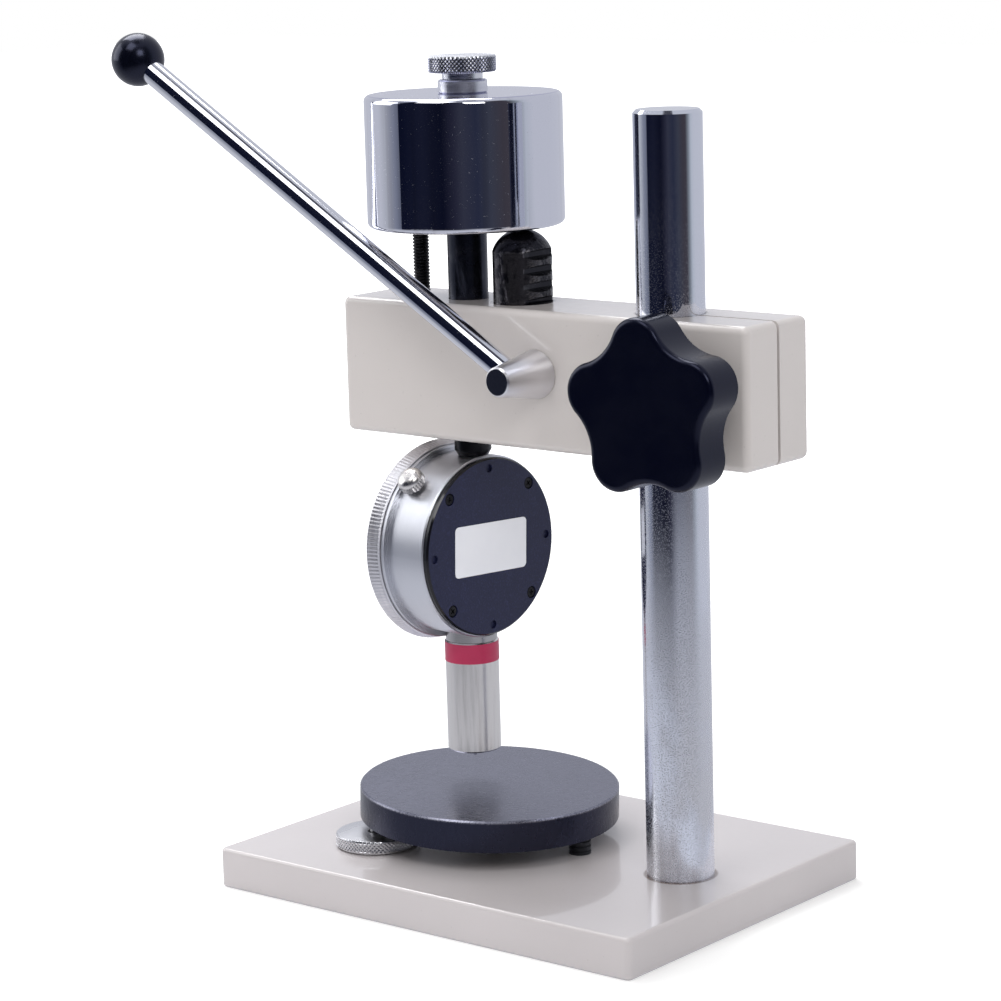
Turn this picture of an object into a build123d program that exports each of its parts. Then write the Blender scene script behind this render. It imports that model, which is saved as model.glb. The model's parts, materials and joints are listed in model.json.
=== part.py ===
from build123d import *
import math
import os

# Stand-mounted rubber hardness tester: a heavy base plate with a levelling platform, a round
# column, a split arm clamped on it by a star knob, and a dial durometer on a loaded spindle
# that a lever lowers through a pinion and a round rack.
# Millimetres.  +Z is up, +Y runs from the dial side to the column, +X is the lever side.
# The origin is the centre of the base plate's underside.

os.makedirs("parts", exist_ok=True)

# ---------------------------------------------------------------- driving dimensions
# Base plate
BASE_WIDTH = 116.0
BASE_LENGTH = 156.8
BASE_THICKNESS = 12.2
BASE_CORNER_RADIUS = 2.0
BASE_EDGE_RADIUS = 1.2
BASE_FOOT_CHAMFER = 0.6
# Column
COLUMN_DIAMETER = 20.0
COLUMN_TOP = 236.7
COLUMN_Y = 54.0
COLUMN_SOCKET_DEPTH = 6.0
COLUMN_CHAMFER = 1.0
COLUMN_BOLT_DIAMETER = 8.0
COLUMN_BOLT_HEAD_DIAMETER = 13.0
COLUMN_BOLT_HEAD_HEIGHT = 4.0
COLUMN_BOLT_GRIP = 14.0
COLUMN_BOLT_SINK = 0.5
COLUMN_BOLT_SOCKET = 6.0
COLUMN_BOLT_SOCKET_DEPTH = 2.4
# Platform and its three supports
PLATFORM_DIAMETER = 79.6
PLATFORM_THICKNESS = 9.7
PLATFORM_Y = -18.2
PLATFORM_TOP = 28.8
PLATFORM_TILT = 2.4
PLATFORM_RIM_CHAMFER = 0.5
SUPPORT_CIRCLE_RADIUS = 35.0
WHEEL_ANGLE = 38.0
WHEEL_DIAMETER = 25.8
WHEEL_THICKNESS = 4.0
WHEEL_EDGE_CHAMFER = 0.4
STUD_DIAMETER = 5.0
STUD_DEPTH = 4.0
STUD_HOLE_DEPTH = 8.5
STUD_GRIP = 5.8
PIVOT_DIAMETER = 6.8
PIVOT_RINGS = 4
PIVOT_RING_DEPTH = 0.5
PIVOT_GRIP = 7.0
SOCKET_DEPTH = 1.0
# Arm
ARM_WIDTH = 30.5
ARM_HEIGHT = 41.1
ARM_BOTTOM = 137.5
ARM_FRONT = -58.4
ARM_REAR = 90.9
ARM_EDGE_RADIUS = 2.2
SLIT_WIDTH = 1.2
# Star knob and clamp screw
CLAMP_Y = 70.0
CLAMP_Z = 156.6
CLAMP_SCREW_DIAMETER = 8.0
CLAMP_SCREW_REACH = 11.5
KNOB_TIP_RADIUS = 26.0
KNOB_VALLEY_RADIUS = 20.3
KNOB_LOBE_RADIUS = 8.5
KNOB_LOBES = 5
KNOB_TURN = 5.0
KNOB_DEPTH = 13.6
KNOB_FRONT_X = 37.6
KNOB_EDGE_RADIUS = 1.8
KNOB_BACK_CHAMFER = 0.8
KNOB_BOSS_DIAMETER = 20.0
KNOB_BOSS_TAPER = 6.0
WASHER_DIAMETER = 22.0
WASHER_THICKNESS = 1.6
# Rack and pinion
GEAR_MODULE = 1.5
PINION_TEETH = 12
PRESSURE_ANGLE = 20.0
GEAR_BACKLASH = 0.30
RACK_ADDENDUM = 1.05
PINION_ADDENDUM = 1.30
ROOT_CLEARANCE = 0.30
RACK_DIAMETER = 17.7
RACK_TOP = 200.3
RACK_DOME_HEIGHT = 6.5
RACK_BOTTOM = 146.0
RACK_PITCH_LINE = 7.3
RACK_GAPS_BELOW = 2
RACK_GAPS_ABOVE = 7
PINION_Z = 160.2
PINION_FACE = 12.0
SHAFT_DIAMETER = 8.0
JOURNAL_DIAMETER = 12.0
SHAFT_END_INSET = 1.2
SHAFT_END_GAP = 0.4
BUSH_INSET = 0.3
BUSH_FACE_GAP = 0.5
# Lever
LEVER_ANGLE = 31.2
HUB_BASE_DIAMETER = 14.4
HUB_TIP_DIAMETER = 8.6
HUB_LENGTH = 17.8
HUB_TIP_CHAMFER = 0.5
LEVER_ROD_DIAMETER = 7.5
LEVER_ROD_X = 25.3
ROD_INSET = 2.0
LEVER_REACH = 172.0
BALL_DIAMETER = 16.5
BALL_SOCKET_DEPTH = 4.0
# Spindle, weight and what is on top of them
SPINDLE_Y = -21.0
SPINDLE_DIAMETER = 12.0
SPINDLE_NECK_DIAMETER = 10.0
SPINDLE_FOOT = 138.6
WEIGHT_DIAMETER = 59.0
WEIGHT_HEIGHT = 39.2
WEIGHT_EDGE_RADIUS = 1.8
COLLAR_DIAMETER = 14.8
COLLAR_HEIGHT = 3.9
TOP_KNOB_DIAMETER = 20.5
TOP_KNOB_HEIGHT = 4.9
TOP_KNOB_NECK_DIAMETER = 12.2
TOP_KNOB_NECK_HEIGHT = 2.1
TOP_KNOB_SCREW_DIAMETER = 5.0
TOP_KNOB_SCREW_LENGTH = 12.0
GUIDE_ROD_Y = -39.2
GUIDE_ROD_DIAMETER = 5.0
GUIDE_ROD_BOTTOM = 148.0
GUIDE_ROD_GRIP = 12.0
GUIDE_NUT_DIAMETER = 7.4
GUIDE_NUT_HEIGHT = 2.4
# Dial gauge
GAUGE_Z = 103.2
GAUGE_TURN = -4.9
GAUGE_BACK = -6.5
CASE_DIAMETER = 55.6
CASE_WALL = 2.0
CASE_FRONT = 11.1
CASE_BACK_CHAMFER = 0.4
CASE_STEP_START = 9.9
CASE_STEP_HEIGHT = 1.6
CASE_GROOVE_WIDTH = 0.5
CASE_GROOVE_HEIGHT = 0.8
COVER_RIM = 0.6
COVER_THICKNESS = 1.6
COVER_CHAMFER = 0.5
COVER_SCREW_INSET = 3.7
COVER_LUG_DIAMETER = 4.8
COVER_SCREW_HEAD_HEIGHT = 0.8
COVER_SCREW_SINK = 0.15
COVER_DIMPLE_DIAMETER = 2.6
COVER_DIMPLE_DEPTH = 0.8
COVER_SCREW_HEAD_DIAMETER = 3.4
COVER_SCREW_DIAMETER = 1.9
COVER_SCREW_LENGTH = 5.0
BEZEL_REAR = 11.3
BEZEL_FRONT = 16.4
BEZEL_PLAIN_WIDTH = 0.9
BEZEL_LIP = 0.4
BEZEL_FLARE = 1.1
BEZEL_CHAMFER = 0.8
BEZEL_FACE_WIDTH = 1.6
BEZEL_WINDOW_STEP = 1.0
CRYSTAL_THICKNESS = 1.4
CRYSTAL_FRONT = 15.6
DIAL_FRONT = 12.2
DIAL_THICKNESS = 0.6
DIAL_BORE_DIAMETER = 3.0
BEZEL_SCREW_ANGLE = 46.6
BEZEL_SCREW_OFFSET = 5.75
BEZEL_SCREW_HEAD_DIAMETER = 8.2
BEZEL_SCREW_HEAD_HEIGHT = 3.4
BEZEL_SCREW_DOME = 1.2
BEZEL_SCREW_DIAMETER = 3.0
BEZEL_SCREW_STANDOFF = 0.9
STEM_NUT_DIAMETER = 11.2
STEM_NUT_TAPER = 1.6
STEM_NUT_INSET = 1.0
STEM_DIAMETER = 6.0
STEM_GRIP = 9.0
# Presser foot and indenter
FOOT_DIAMETER = 16.3
FOOT_CHAMFER = 0.5
FOOT_BOTTOM = 39.1
FOOT_BORE_DIAMETER = 10.0
FOOT_FLOOR = 3.0
FOOT_ROOF = 3.6
FOOT_NECK_RISE = 3.5
FOOT_HOLE_DIAMETER = 3.0
FOOT_NECK_DIAMETER = 12.0
FOOT_NECK_BORE_DIAMETER = 3.4
FOOT_RING_STEP = 0.25
FOOT_SADDLE_HEIGHT = 1.6
BAND_INSET = 0.5
BAND_HEIGHT = 6.0
BAND_THICKNESS = 0.15
INDENTER_TRAVEL = 2.5
INDENTER_DIAMETER = 1.25
INDENTER_TIP_DIAMETER = 0.79
INDENTER_TIP_CONE = 35.0
INDENTER_ROD_DIAMETER = 3.0
INDENTER_COLLAR_DIAMETER = 8.4
INDENTER_COLLAR_HEIGHT = 2.0
SPRING_WIRE_DIAMETER = 0.8
SPRING_DIAMETER = 7.2
SPRING_TURNS = 6
# Dial movement
TRAIN_MODULE = 0.4
RACK_PINION_MODULE = 0.5
RACK_PINION_TEETH = 10
TRANSFER_TEETH = 40
CENTRE_TEETH = 8
TRAIN_CENTRE_GAP = 0.08
RACK_PINION_ADDENDUM = 0.42
RACK_PINION_FACE = 2.8
FINE_RACK_DEDENDUM = 0.575
FINE_RACK_GAPS = 9
FINE_RACK_ABOVE = 3
FINE_BACKLASH = 0.12
TRAIN_ADDENDUM = 0.34
TRAIN_DEDENDUM = 0.46
TRANSFER_WHEEL_THICKNESS = 0.8
CENTRE_PINION_FACE = 1.2
WHEEL_STANDOFF = 0.4
ARBOR_DIAMETER = 1.6
ARBOR_START = 0.4
ARBOR_STUB = 0.4
POINTER_STANDOFF = 0.5
PLATE_BACK = 5.0
PLATE_THICKNESS = 1.2
PLATE_RIM = 3.3
PILLAR_DIAMETER = 4.0
PILLAR_INSET = 6.8
POINTER_RIM = 5.5
POINTER_TAIL = 6.0
POINTER_TAIL_WIDTH = 2.9
POINTER_THICKNESS = 0.3
POINTER_WIDTH = 2.4

# ---------------------------------------------------------------- clearances
CONTACT_GAP = 0.1
OVERRUN = 1.0
EDGE_BREAK = 0.4
SCREW_POINT = 0.8
RUNNING = 0.06
SLIDING = 0.08
FACE_GAP = 0.3
SCREW_CLEARANCE = 0.3
ARM_GUIDE_CLEARANCE = 0.6
GEAR_POCKET_CLEARANCE = 0.5
STUD_CLEARANCE = 0.5
BASE_STUD_CLEARANCE = 1.5
RIM_CLEARANCE = 0.2
FOOT_BEZEL_GAP = 0.15

# ---------------------------------------------------------------- places worked out from them
ARM_SIDE = ARM_WIDTH / 2
PITCH_RADIUS = GEAR_MODULE * PINION_TEETH / 2
PINION_Y = RACK_PITCH_LINE + PITCH_RADIUS
RACK_TIP_Y = RACK_PITCH_LINE + RACK_ADDENDUM
RACK_ROOT_Y = RACK_PITCH_LINE - PINION_ADDENDUM - ROOT_CLEARANCE
PINION_TIP_RADIUS = PITCH_RADIUS + PINION_ADDENDUM
GEAR_POCKET_RADIUS = PINION_TIP_RADIUS + GEAR_POCKET_CLEARANCE
WEIGHT_BOTTOM = RACK_TOP + RIM_CLEARANCE
WEIGHT_TOP = WEIGHT_BOTTOM + WEIGHT_HEIGHT
COLLAR_TOP = WEIGHT_TOP + COLLAR_HEIGHT
HUB_START = ARM_SIDE + FACE_GAP
HUB_END = HUB_START + HUB_LENGTH
CASE_RADIUS = CASE_DIAMETER / 2
CASE_INNER_RADIUS = CASE_RADIUS - CASE_WALL
CASE_STEP_RADIUS = CASE_RADIUS + CASE_STEP_HEIGHT
CASE_BOTTOM = GAUGE_Z - CASE_RADIUS
CASE_TOP = GAUGE_Z + CASE_RADIUS
COVER_FACE = GAUGE_BACK + COVER_THICKNESS
COVER_RADIUS = CASE_RADIUS - COVER_RIM
COVER_SCREW_CIRCLE = CASE_RADIUS - COVER_SCREW_INSET
BEZEL_REAR_RADIUS = CASE_STEP_RADIUS + BEZEL_LIP
BEZEL_FRONT_RADIUS = BEZEL_REAR_RADIUS + BEZEL_FLARE
BEZEL_SEAT_RADIUS = CASE_RADIUS - FACE_GAP
BEZEL_WINDOW_RADIUS = BEZEL_SEAT_RADIUS - BEZEL_WINDOW_STEP
FOOT_OFFSET = BEZEL_REAR - FOOT_BEZEL_GAP - FOOT_DIAMETER / 2
FOOT_TOP = GAUGE_Z - CASE_STEP_RADIUS - RIM_CLEARANCE
FOOT_NECK_TOP = CASE_BOTTOM + FOOT_NECK_RISE
BAND_TOP = FOOT_TOP - BAND_INSET
ARBOR_RADIUS = ARBOR_DIAMETER / 2
PLATE_RADIUS = CASE_INNER_RADIUS - PLATE_RIM
PILLAR_CIRCLE = CASE_INNER_RADIUS - PILLAR_INSET
POINTER_LENGTH = BEZEL_SEAT_RADIUS - POINTER_RIM
CENTRE_DISTANCE = TRAIN_MODULE * (TRANSFER_TEETH + CENTRE_TEETH) / 2 + TRAIN_CENTRE_GAP
RACK_PINION_RADIUS = RACK_PINION_MODULE * RACK_PINION_TEETH / 2
FINE_RACK_PITCH_LINE = INDENTER_ROD_DIAMETER / 2 - RACK_PINION_MODULE
TRANSFER_X = -(FINE_RACK_PITCH_LINE + RACK_PINION_RADIUS + TRAIN_CENTRE_GAP / 2)
TRANSFER_Y = -math.sqrt(CENTRE_DISTANCE**2 - TRANSFER_X**2)
POINTER_SWEEP = math.degrees(
    INDENTER_TRAVEL / RACK_PINION_RADIUS * TRANSFER_TEETH / CENTRE_TEETH
)
POINTER_START = 90 + POINTER_SWEEP / 2

# ---------------------------------------------------------------- planes of the sub-assemblies
tilt = math.radians(PLATFORM_TILT)
PLATFORM_UP = Vector(0, math.sin(tilt), math.cos(tilt))
PLATFORM_TOP_CENTRE = Vector(0, PLATFORM_Y, PLATFORM_TOP)
PLATFORM_UNDERSIDE = PLATFORM_TOP_CENTRE - PLATFORM_UP * PLATFORM_THICKNESS
platform_plane = Plane(origin=PLATFORM_UNDERSIDE, x_dir=(1, 0, 0), z_dir=PLATFORM_UP)
PIVOT_TOP_CENTRE = platform_plane.from_local_coords(
    Vector(0, SUPPORT_CIRCLE_RADIUS, SOCKET_DEPTH)
)
PIVOT_Y = PIVOT_TOP_CENTRE.Y
STUD_X = SUPPORT_CIRCLE_RADIUS * math.cos(math.radians(WHEEL_ANGLE))
STUD_Y = -SUPPORT_CIRCLE_RADIUS * math.sin(math.radians(WHEEL_ANGLE))
stud_root = platform_plane.from_local_coords(Vector(STUD_X, STUD_Y, 0))
WHEEL_MIDDLE = BASE_THICKNESS + FACE_GAP + WHEEL_THICKNESS / 2
WHEEL_Y = stud_root.Y - (stud_root.Z - WHEEL_MIDDLE) * math.tan(tilt)
STUD_BELOW = (stud_root.Z - BASE_THICKNESS) + STUD_DEPTH

turn = math.radians(GAUGE_TURN)
GAUGE_SIDEWAYS = Vector(math.cos(turn), math.sin(turn), 0)
GAUGE_FORWARD = Vector(math.sin(turn), -math.cos(turn), 0)
GAUGE_CENTRE = Vector(0, SPINDLE_Y, GAUGE_Z)
gauge_plane = Plane(origin=GAUGE_CENTRE, x_dir=GAUGE_SIDEWAYS, z_dir=GAUGE_FORWARD)
FOOT_AXIS = Vector(0, SPINDLE_Y, 0) + GAUGE_FORWARD * FOOT_OFFSET
foot_plane = Plane(origin=FOOT_AXIS, x_dir=GAUGE_SIDEWAYS, z_dir=(0, 0, 1))

rack_plane = Plane(origin=(0, 0, 0), x_dir=(0, 1, 0), z_dir=(1, 0, 0))
pinion_plane = Plane(origin=(0, PINION_Y, PINION_Z), x_dir=(0, 1, 0), z_dir=(1, 0, 0))
clamp_plane = Plane(origin=(0, CLAMP_Y, CLAMP_Z), x_dir=(0, 1, 0), z_dir=(1, 0, 0))
lever_lean = math.radians(LEVER_ANGLE)
LEVER_AWAY = Vector(0, -math.cos(lever_lean), math.sin(lever_lean))
lever_plane = Plane(
    origin=(LEVER_ROD_X, PINION_Y, PINION_Z), x_dir=(1, 0, 0), z_dir=LEVER_AWAY
)


def at(y, z=0.0, x=0.0):
    """A horizontal plane with its origin on a vertical axis at x, y."""
    return Plane(origin=(x, y, z), x_dir=(1, 0, 0), z_dir=(0, 0, 1))


def outer_circles(builder, diameter):
    """The circular edges of a turned piece that lie at a diameter."""
    circles = builder.edges().filter_by(GeomType.CIRCLE)
    return circles.filter_by(lambda edge: abs(2 * edge.radius - diameter) < 0.01)


def finish(builder, name):
    """Label a finished piece and write its STEP file."""
    builder.part.label = name
    export_step(builder.part, f"parts/{name}.step")


# ================================================================ base
with BuildPart() as base_plate:
    with BuildSketch(Plane.XY):
        RectangleRounded(BASE_WIDTH, BASE_LENGTH, BASE_CORNER_RADIUS)
    extrude(amount=BASE_THICKNESS)
    fillet(base_plate.faces().sort_by(Axis.Z)[-1].edges(), BASE_EDGE_RADIUS)
    chamfer(base_plate.faces().sort_by(Axis.Z)[0].edges(), BASE_FOOT_CHAMFER)
    with BuildSketch(Plane.XY.offset(BASE_THICKNESS)):
        with Locations((0, COLUMN_Y)):
            Circle(COLUMN_DIAMETER / 2)
    extrude(amount=-COLUMN_SOCKET_DEPTH, mode=Mode.SUBTRACT)
    with BuildSketch(Plane.XY):
        with Locations((0, COLUMN_Y)):
            Circle(COLUMN_BOLT_HEAD_DIAMETER / 2 + SCREW_CLEARANCE)
    extrude(amount=COLUMN_BOLT_HEAD_HEIGHT + COLUMN_BOLT_SINK, mode=Mode.SUBTRACT)
    with BuildSketch(Plane.XY):
        with Locations((0, COLUMN_Y)):
            Circle(COLUMN_BOLT_DIAMETER / 2 + SCREW_CLEARANCE)
    extrude(amount=BASE_THICKNESS, mode=Mode.SUBTRACT)
    with BuildSketch(Plane.XY.offset(BASE_THICKNESS)):
        with Locations((STUD_X, WHEEL_Y), (-STUD_X, WHEEL_Y)):
            Circle(STUD_DIAMETER / 2 + BASE_STUD_CLEARANCE)
    extrude(amount=-STUD_HOLE_DEPTH, mode=Mode.SUBTRACT)
    with BuildSketch(Plane.XY.offset(BASE_THICKNESS)):
        with Locations((0, PIVOT_Y)):
            Circle(STUD_DIAMETER / 2)
    extrude(amount=-PIVOT_GRIP - SCREW_CLEARANCE, mode=Mode.SUBTRACT)
finish(base_plate, "base_plate")

# ---------------------------------------------------------------- column and its bolt
COLUMN_FOOT = BASE_THICKNESS - COLUMN_SOCKET_DEPTH
COLUMN_BOLT_SEAT = COLUMN_BOLT_HEAD_HEIGHT + COLUMN_BOLT_SINK
with BuildPart() as column:
    with BuildSketch(at(COLUMN_Y, COLUMN_FOOT)):
        Circle(COLUMN_DIAMETER / 2)
    extrude(amount=COLUMN_TOP - COLUMN_FOOT)
    chamfer(column.faces().sort_by(Axis.Z)[-1].edges(), COLUMN_CHAMFER)
    with BuildSketch(at(COLUMN_Y, COLUMN_FOOT)):
        Circle(COLUMN_BOLT_DIAMETER / 2)
    extrude(amount=COLUMN_BOLT_GRIP + OVERRUN, mode=Mode.SUBTRACT)
finish(column, "column")

with BuildPart() as column_bolt:
    with BuildSketch(at(COLUMN_Y, COLUMN_BOLT_SEAT - COLUMN_BOLT_HEAD_HEIGHT)):
        Circle(COLUMN_BOLT_HEAD_DIAMETER / 2)
        RegularPolygon(COLUMN_BOLT_SOCKET / 2, 6, major_radius=False, mode=Mode.SUBTRACT)
    extrude(amount=COLUMN_BOLT_SOCKET_DEPTH)
    with BuildSketch(at(COLUMN_Y, COLUMN_BOLT_SINK + COLUMN_BOLT_SOCKET_DEPTH)):
        Circle(COLUMN_BOLT_HEAD_DIAMETER / 2)
    extrude(amount=COLUMN_BOLT_HEAD_HEIGHT - COLUMN_BOLT_SOCKET_DEPTH)
    with BuildSketch(at(COLUMN_Y, COLUMN_BOLT_SEAT)):
        Circle(COLUMN_BOLT_DIAMETER / 2)
    extrude(amount=COLUMN_FOOT - COLUMN_BOLT_SEAT + COLUMN_BOLT_GRIP)
finish(column_bolt, "column_bolt")

# ================================================================ levelling platform
with BuildPart() as platform_plate:
    with BuildSketch(platform_plane):
        Circle(PLATFORM_DIAMETER / 2)
    extrude(amount=PLATFORM_THICKNESS)
    chamfer(platform_plate.edges().group_by(Axis.Z)[-1], PLATFORM_RIM_CHAMFER)
    with BuildSketch(platform_plane):
        with Locations((0, SUPPORT_CIRCLE_RADIUS)):
            Circle(PIVOT_DIAMETER / 2 + STUD_CLEARANCE)
    extrude(amount=SOCKET_DEPTH, mode=Mode.SUBTRACT)
    with BuildSketch(platform_plane):
        with Locations((STUD_X, STUD_Y), (-STUD_X, STUD_Y)):
            Circle(STUD_DIAMETER / 2)
    extrude(amount=STUD_GRIP, mode=Mode.SUBTRACT)
finish(platform_plate, "platform_plate")

# Two studs screwed up into the platform: the wheels turn on them and carry its front.
with BuildPart() as levelling_studs:
    with BuildSketch(platform_plane.offset(-STUD_BELOW)):
        with Locations((STUD_X, STUD_Y), (-STUD_X, STUD_Y)):
            Circle(STUD_DIAMETER / 2)
    extrude(amount=STUD_BELOW + STUD_GRIP)
finish(levelling_studs, "levelling_studs")


def levelling_wheel(name, x):
    """A knurled wheel standing on the base; its collar carries the platform stud."""
    with BuildPart() as wheel:
        with BuildSketch(at(WHEEL_Y, BASE_THICKNESS + FACE_GAP, x)):
            Circle(WHEEL_DIAMETER / 2)
            Circle(STUD_DIAMETER / 2 + STUD_CLEARANCE, mode=Mode.SUBTRACT)
        extrude(amount=WHEEL_THICKNESS)
        chamfer(outer_circles(wheel, WHEEL_DIAMETER), WHEEL_EDGE_CHAMFER)
    finish(wheel, name)


levelling_wheel("levelling_wheel_right", STUD_X)
levelling_wheel("levelling_wheel_left", -STUD_X)

# Rear pivot: a ribbed black pin standing in the base, rounded where the platform rocks on it.
PIVOT_RISE = PIVOT_TOP_CENTRE.Z - BASE_THICKNESS - RIM_CLEARANCE
PIVOT_RING_PITCH = PIVOT_RISE / PIVOT_RINGS
with BuildPart() as rear_pivot:
    with BuildSketch(at(PIVOT_Y, BASE_THICKNESS)):
        Circle(PIVOT_DIAMETER / 2 - PIVOT_RING_DEPTH)
    extrude(amount=PIVOT_RISE)
    for ring in range(PIVOT_RINGS):
        with BuildSketch(at(PIVOT_Y, BASE_THICKNESS + ring * PIVOT_RING_PITCH)):
            Circle(PIVOT_DIAMETER / 2)
        extrude(amount=PIVOT_RING_PITCH / 2)
    with BuildSketch(at(PIVOT_Y, BASE_THICKNESS)):
        Circle(STUD_DIAMETER / 2)
    extrude(amount=-PIVOT_GRIP)
finish(rear_pivot, "rear_pivot")

# ================================================================ arm
with BuildPart() as arm_block:
    arm_length = ARM_REAR - ARM_FRONT
    with BuildSketch(at((ARM_REAR + ARM_FRONT) / 2, ARM_BOTTOM)):
        Rectangle(ARM_WIDTH, arm_length)
    extrude(amount=ARM_HEIGHT)
    fillet(arm_block.edges(), ARM_EDGE_RADIUS)
    with BuildSketch(Plane.XY.offset(ARM_BOTTOM)):
        with Locations((0, COLUMN_Y)):
            Circle(COLUMN_DIAMETER / 2 + SLIDING)
        with Locations((0, SPINDLE_Y)):
            Circle(SPINDLE_DIAMETER / 2 + RUNNING)
        with Locations((0, 0)):
            Circle(RACK_DIAMETER / 2 + RUNNING)
        with Locations((0, GUIDE_ROD_Y)):
            Circle(GUIDE_ROD_DIAMETER / 2 + ARM_GUIDE_CLEARANCE)
        with Locations((0, (COLUMN_Y + ARM_REAR) / 2)):
            Rectangle(SLIT_WIDTH, ARM_REAR - COLUMN_Y)
    extrude(amount=ARM_HEIGHT, mode=Mode.SUBTRACT)
    with BuildSketch(pinion_plane.offset(-ARM_SIDE)):
        Circle(GEAR_POCKET_RADIUS)
    extrude(amount=ARM_SIDE + PINION_FACE / 2 + 2 * FACE_GAP, mode=Mode.SUBTRACT)
    with BuildSketch(pinion_plane):
        Circle(JOURNAL_DIAMETER / 2 + RUNNING)
    extrude(amount=ARM_SIDE, mode=Mode.SUBTRACT)
    with BuildSketch(clamp_plane):
        Circle(CLAMP_SCREW_DIAMETER / 2 + SCREW_CLEARANCE)
    extrude(amount=ARM_SIDE, mode=Mode.SUBTRACT)
    with BuildSketch(clamp_plane):
        Circle(CLAMP_SCREW_DIAMETER / 2 + RUNNING)
    extrude(amount=-CLAMP_SCREW_REACH - OVERRUN, mode=Mode.SUBTRACT)
finish(arm_block, "arm_block")

# The bush that closes the pinion pocket and carries the shaft's far end.
with BuildPart() as pinion_bush:
    with BuildSketch(pinion_plane.offset(-ARM_SIDE + BUSH_INSET)):
        Circle(GEAR_POCKET_RADIUS)
        Circle(SHAFT_DIAMETER / 2 + RUNNING, mode=Mode.SUBTRACT)
    extrude(amount=ARM_SIDE - PINION_FACE / 2 - BUSH_INSET - BUSH_FACE_GAP)
    with BuildSketch(Plane.XY.offset(ARM_BOTTOM)):
        Circle(RACK_DIAMETER / 2 + RUNNING)
    extrude(amount=ARM_HEIGHT, mode=Mode.SUBTRACT)
    chamfer(pinion_bush.faces().sort_by(Axis.X)[0].outer_wire().edges(), EDGE_BREAK)
finish(pinion_bush, "pinion_bush")


# ================================================================ gears
def tooth_flank(radius, pitch_radius, half_tooth):
    """Half the angle that an involute tooth fills at a radius."""
    base_radius = pitch_radius * math.cos(math.radians(PRESSURE_ANGLE))

    def involute(r):
        angle = math.acos(min(1.0, base_radius / r))
        return math.tan(angle) - angle

    return half_tooth + involute(pitch_radius) - involute(max(radius, base_radius))


def gear_outline(teeth, module, addendum, dedendum, backlash, first_tooth):
    """Closed outline of a spur gear, one tooth centred on first_tooth degrees.

    A flank is a short chain of lines through points on the involute."""
    pitch_radius = teeth * module / 2
    half_tooth = (math.pi * module / 2 - backlash) / 2 / pitch_radius
    root, tip = pitch_radius - dedendum, pitch_radius + addendum
    levels = [root, pitch_radius, tip]
    for tooth in range(teeth):
        middle = math.radians(first_tooth) + 2 * math.pi * tooth / teeth
        following = middle + 2 * math.pi / teeth
        spread = [tooth_flank(r, pitch_radius, half_tooth) for r in levels]
        rising = [polar(r, middle - s) for r, s in zip(levels, spread)]
        falling = [polar(r, middle + s) for r, s in zip(levels, spread)]
        next_root = polar(root, following - spread[0])
        Polyline(*rising, *reversed(falling), next_root)


def polar(radius, angle):
    """A point at a radius and an angle in radians."""
    return (radius * math.cos(angle), radius * math.sin(angle))


# ================================================================ lever assembly
with BuildPart() as pinion_shaft:
    with BuildSketch(pinion_plane.offset(-PINION_FACE / 2)):
        with BuildLine():
            gear_outline(
                PINION_TEETH,
                GEAR_MODULE,
                PINION_ADDENDUM,
                RACK_ADDENDUM + ROOT_CLEARANCE,
                GEAR_BACKLASH,
                180,
            )
        make_face()
    extrude(amount=PINION_FACE)
    with BuildSketch(pinion_plane.offset(-ARM_SIDE + SHAFT_END_INSET)):
        Circle(SHAFT_DIAMETER / 2)
    extrude(amount=ARM_SIDE)
    with BuildSketch(pinion_plane):
        Circle(JOURNAL_DIAMETER / 2)
    extrude(amount=HUB_START)
    with BuildSketch(pinion_plane):
        Circle(SHAFT_DIAMETER / 2)
    extrude(amount=LEVER_ROD_X - LEVER_ROD_DIAMETER / 2 - SHAFT_END_GAP)
finish(pinion_shaft, "pinion_shaft")

HUB_BORE_END = LEVER_ROD_X - LEVER_ROD_DIAMETER / 2 - SHAFT_END_GAP / 2
with BuildPart() as lever_hub:
    with BuildSketch(pinion_plane.offset(HUB_START)):
        Circle(HUB_BASE_DIAMETER / 2)
    with BuildSketch(pinion_plane.offset(HUB_END)):
        Circle(HUB_TIP_DIAMETER / 2)
    loft()
    chamfer(lever_hub.faces().sort_by(Axis.X)[-1].edges(), HUB_TIP_CHAMFER)
    with BuildSketch(pinion_plane.offset(HUB_START)):
        Circle(SHAFT_DIAMETER / 2)
    extrude(amount=HUB_BORE_END - HUB_START, mode=Mode.SUBTRACT)
    with BuildSketch(lever_plane.offset(-ROD_INSET)):
        Circle(LEVER_ROD_DIAMETER / 2)
    extrude(amount=HUB_BASE_DIAMETER, mode=Mode.SUBTRACT)
finish(lever_hub, "lever_hub")

with BuildPart() as lever_rod:
    with BuildSketch(lever_plane.offset(-ROD_INSET)):
        Circle(LEVER_ROD_DIAMETER / 2)
    extrude(amount=ROD_INSET + LEVER_REACH + BALL_SOCKET_DEPTH)
finish(lever_rod, "lever_rod")

with BuildPart() as ball_knob:
    with BuildSketch(Plane(origin=lever_plane.origin, x_dir=LEVER_AWAY, z_dir=(1, 0, 0))):
        with BuildLine():
            start = (LEVER_REACH - BALL_DIAMETER / 2, 0)
            end = (LEVER_REACH + BALL_DIAMETER / 2, 0)
            ThreePointArc(start, (LEVER_REACH, BALL_DIAMETER / 2), end)
            Line(end, start)
        make_face()
    revolve(axis=Axis(lever_plane.origin, LEVER_AWAY))
    with BuildSketch(lever_plane.offset(LEVER_REACH - BALL_DIAMETER)):
        Circle(LEVER_ROD_DIAMETER / 2)
    extrude(amount=BALL_DIAMETER + BALL_SOCKET_DEPTH, mode=Mode.SUBTRACT)
finish(ball_knob, "ball_knob")

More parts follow.
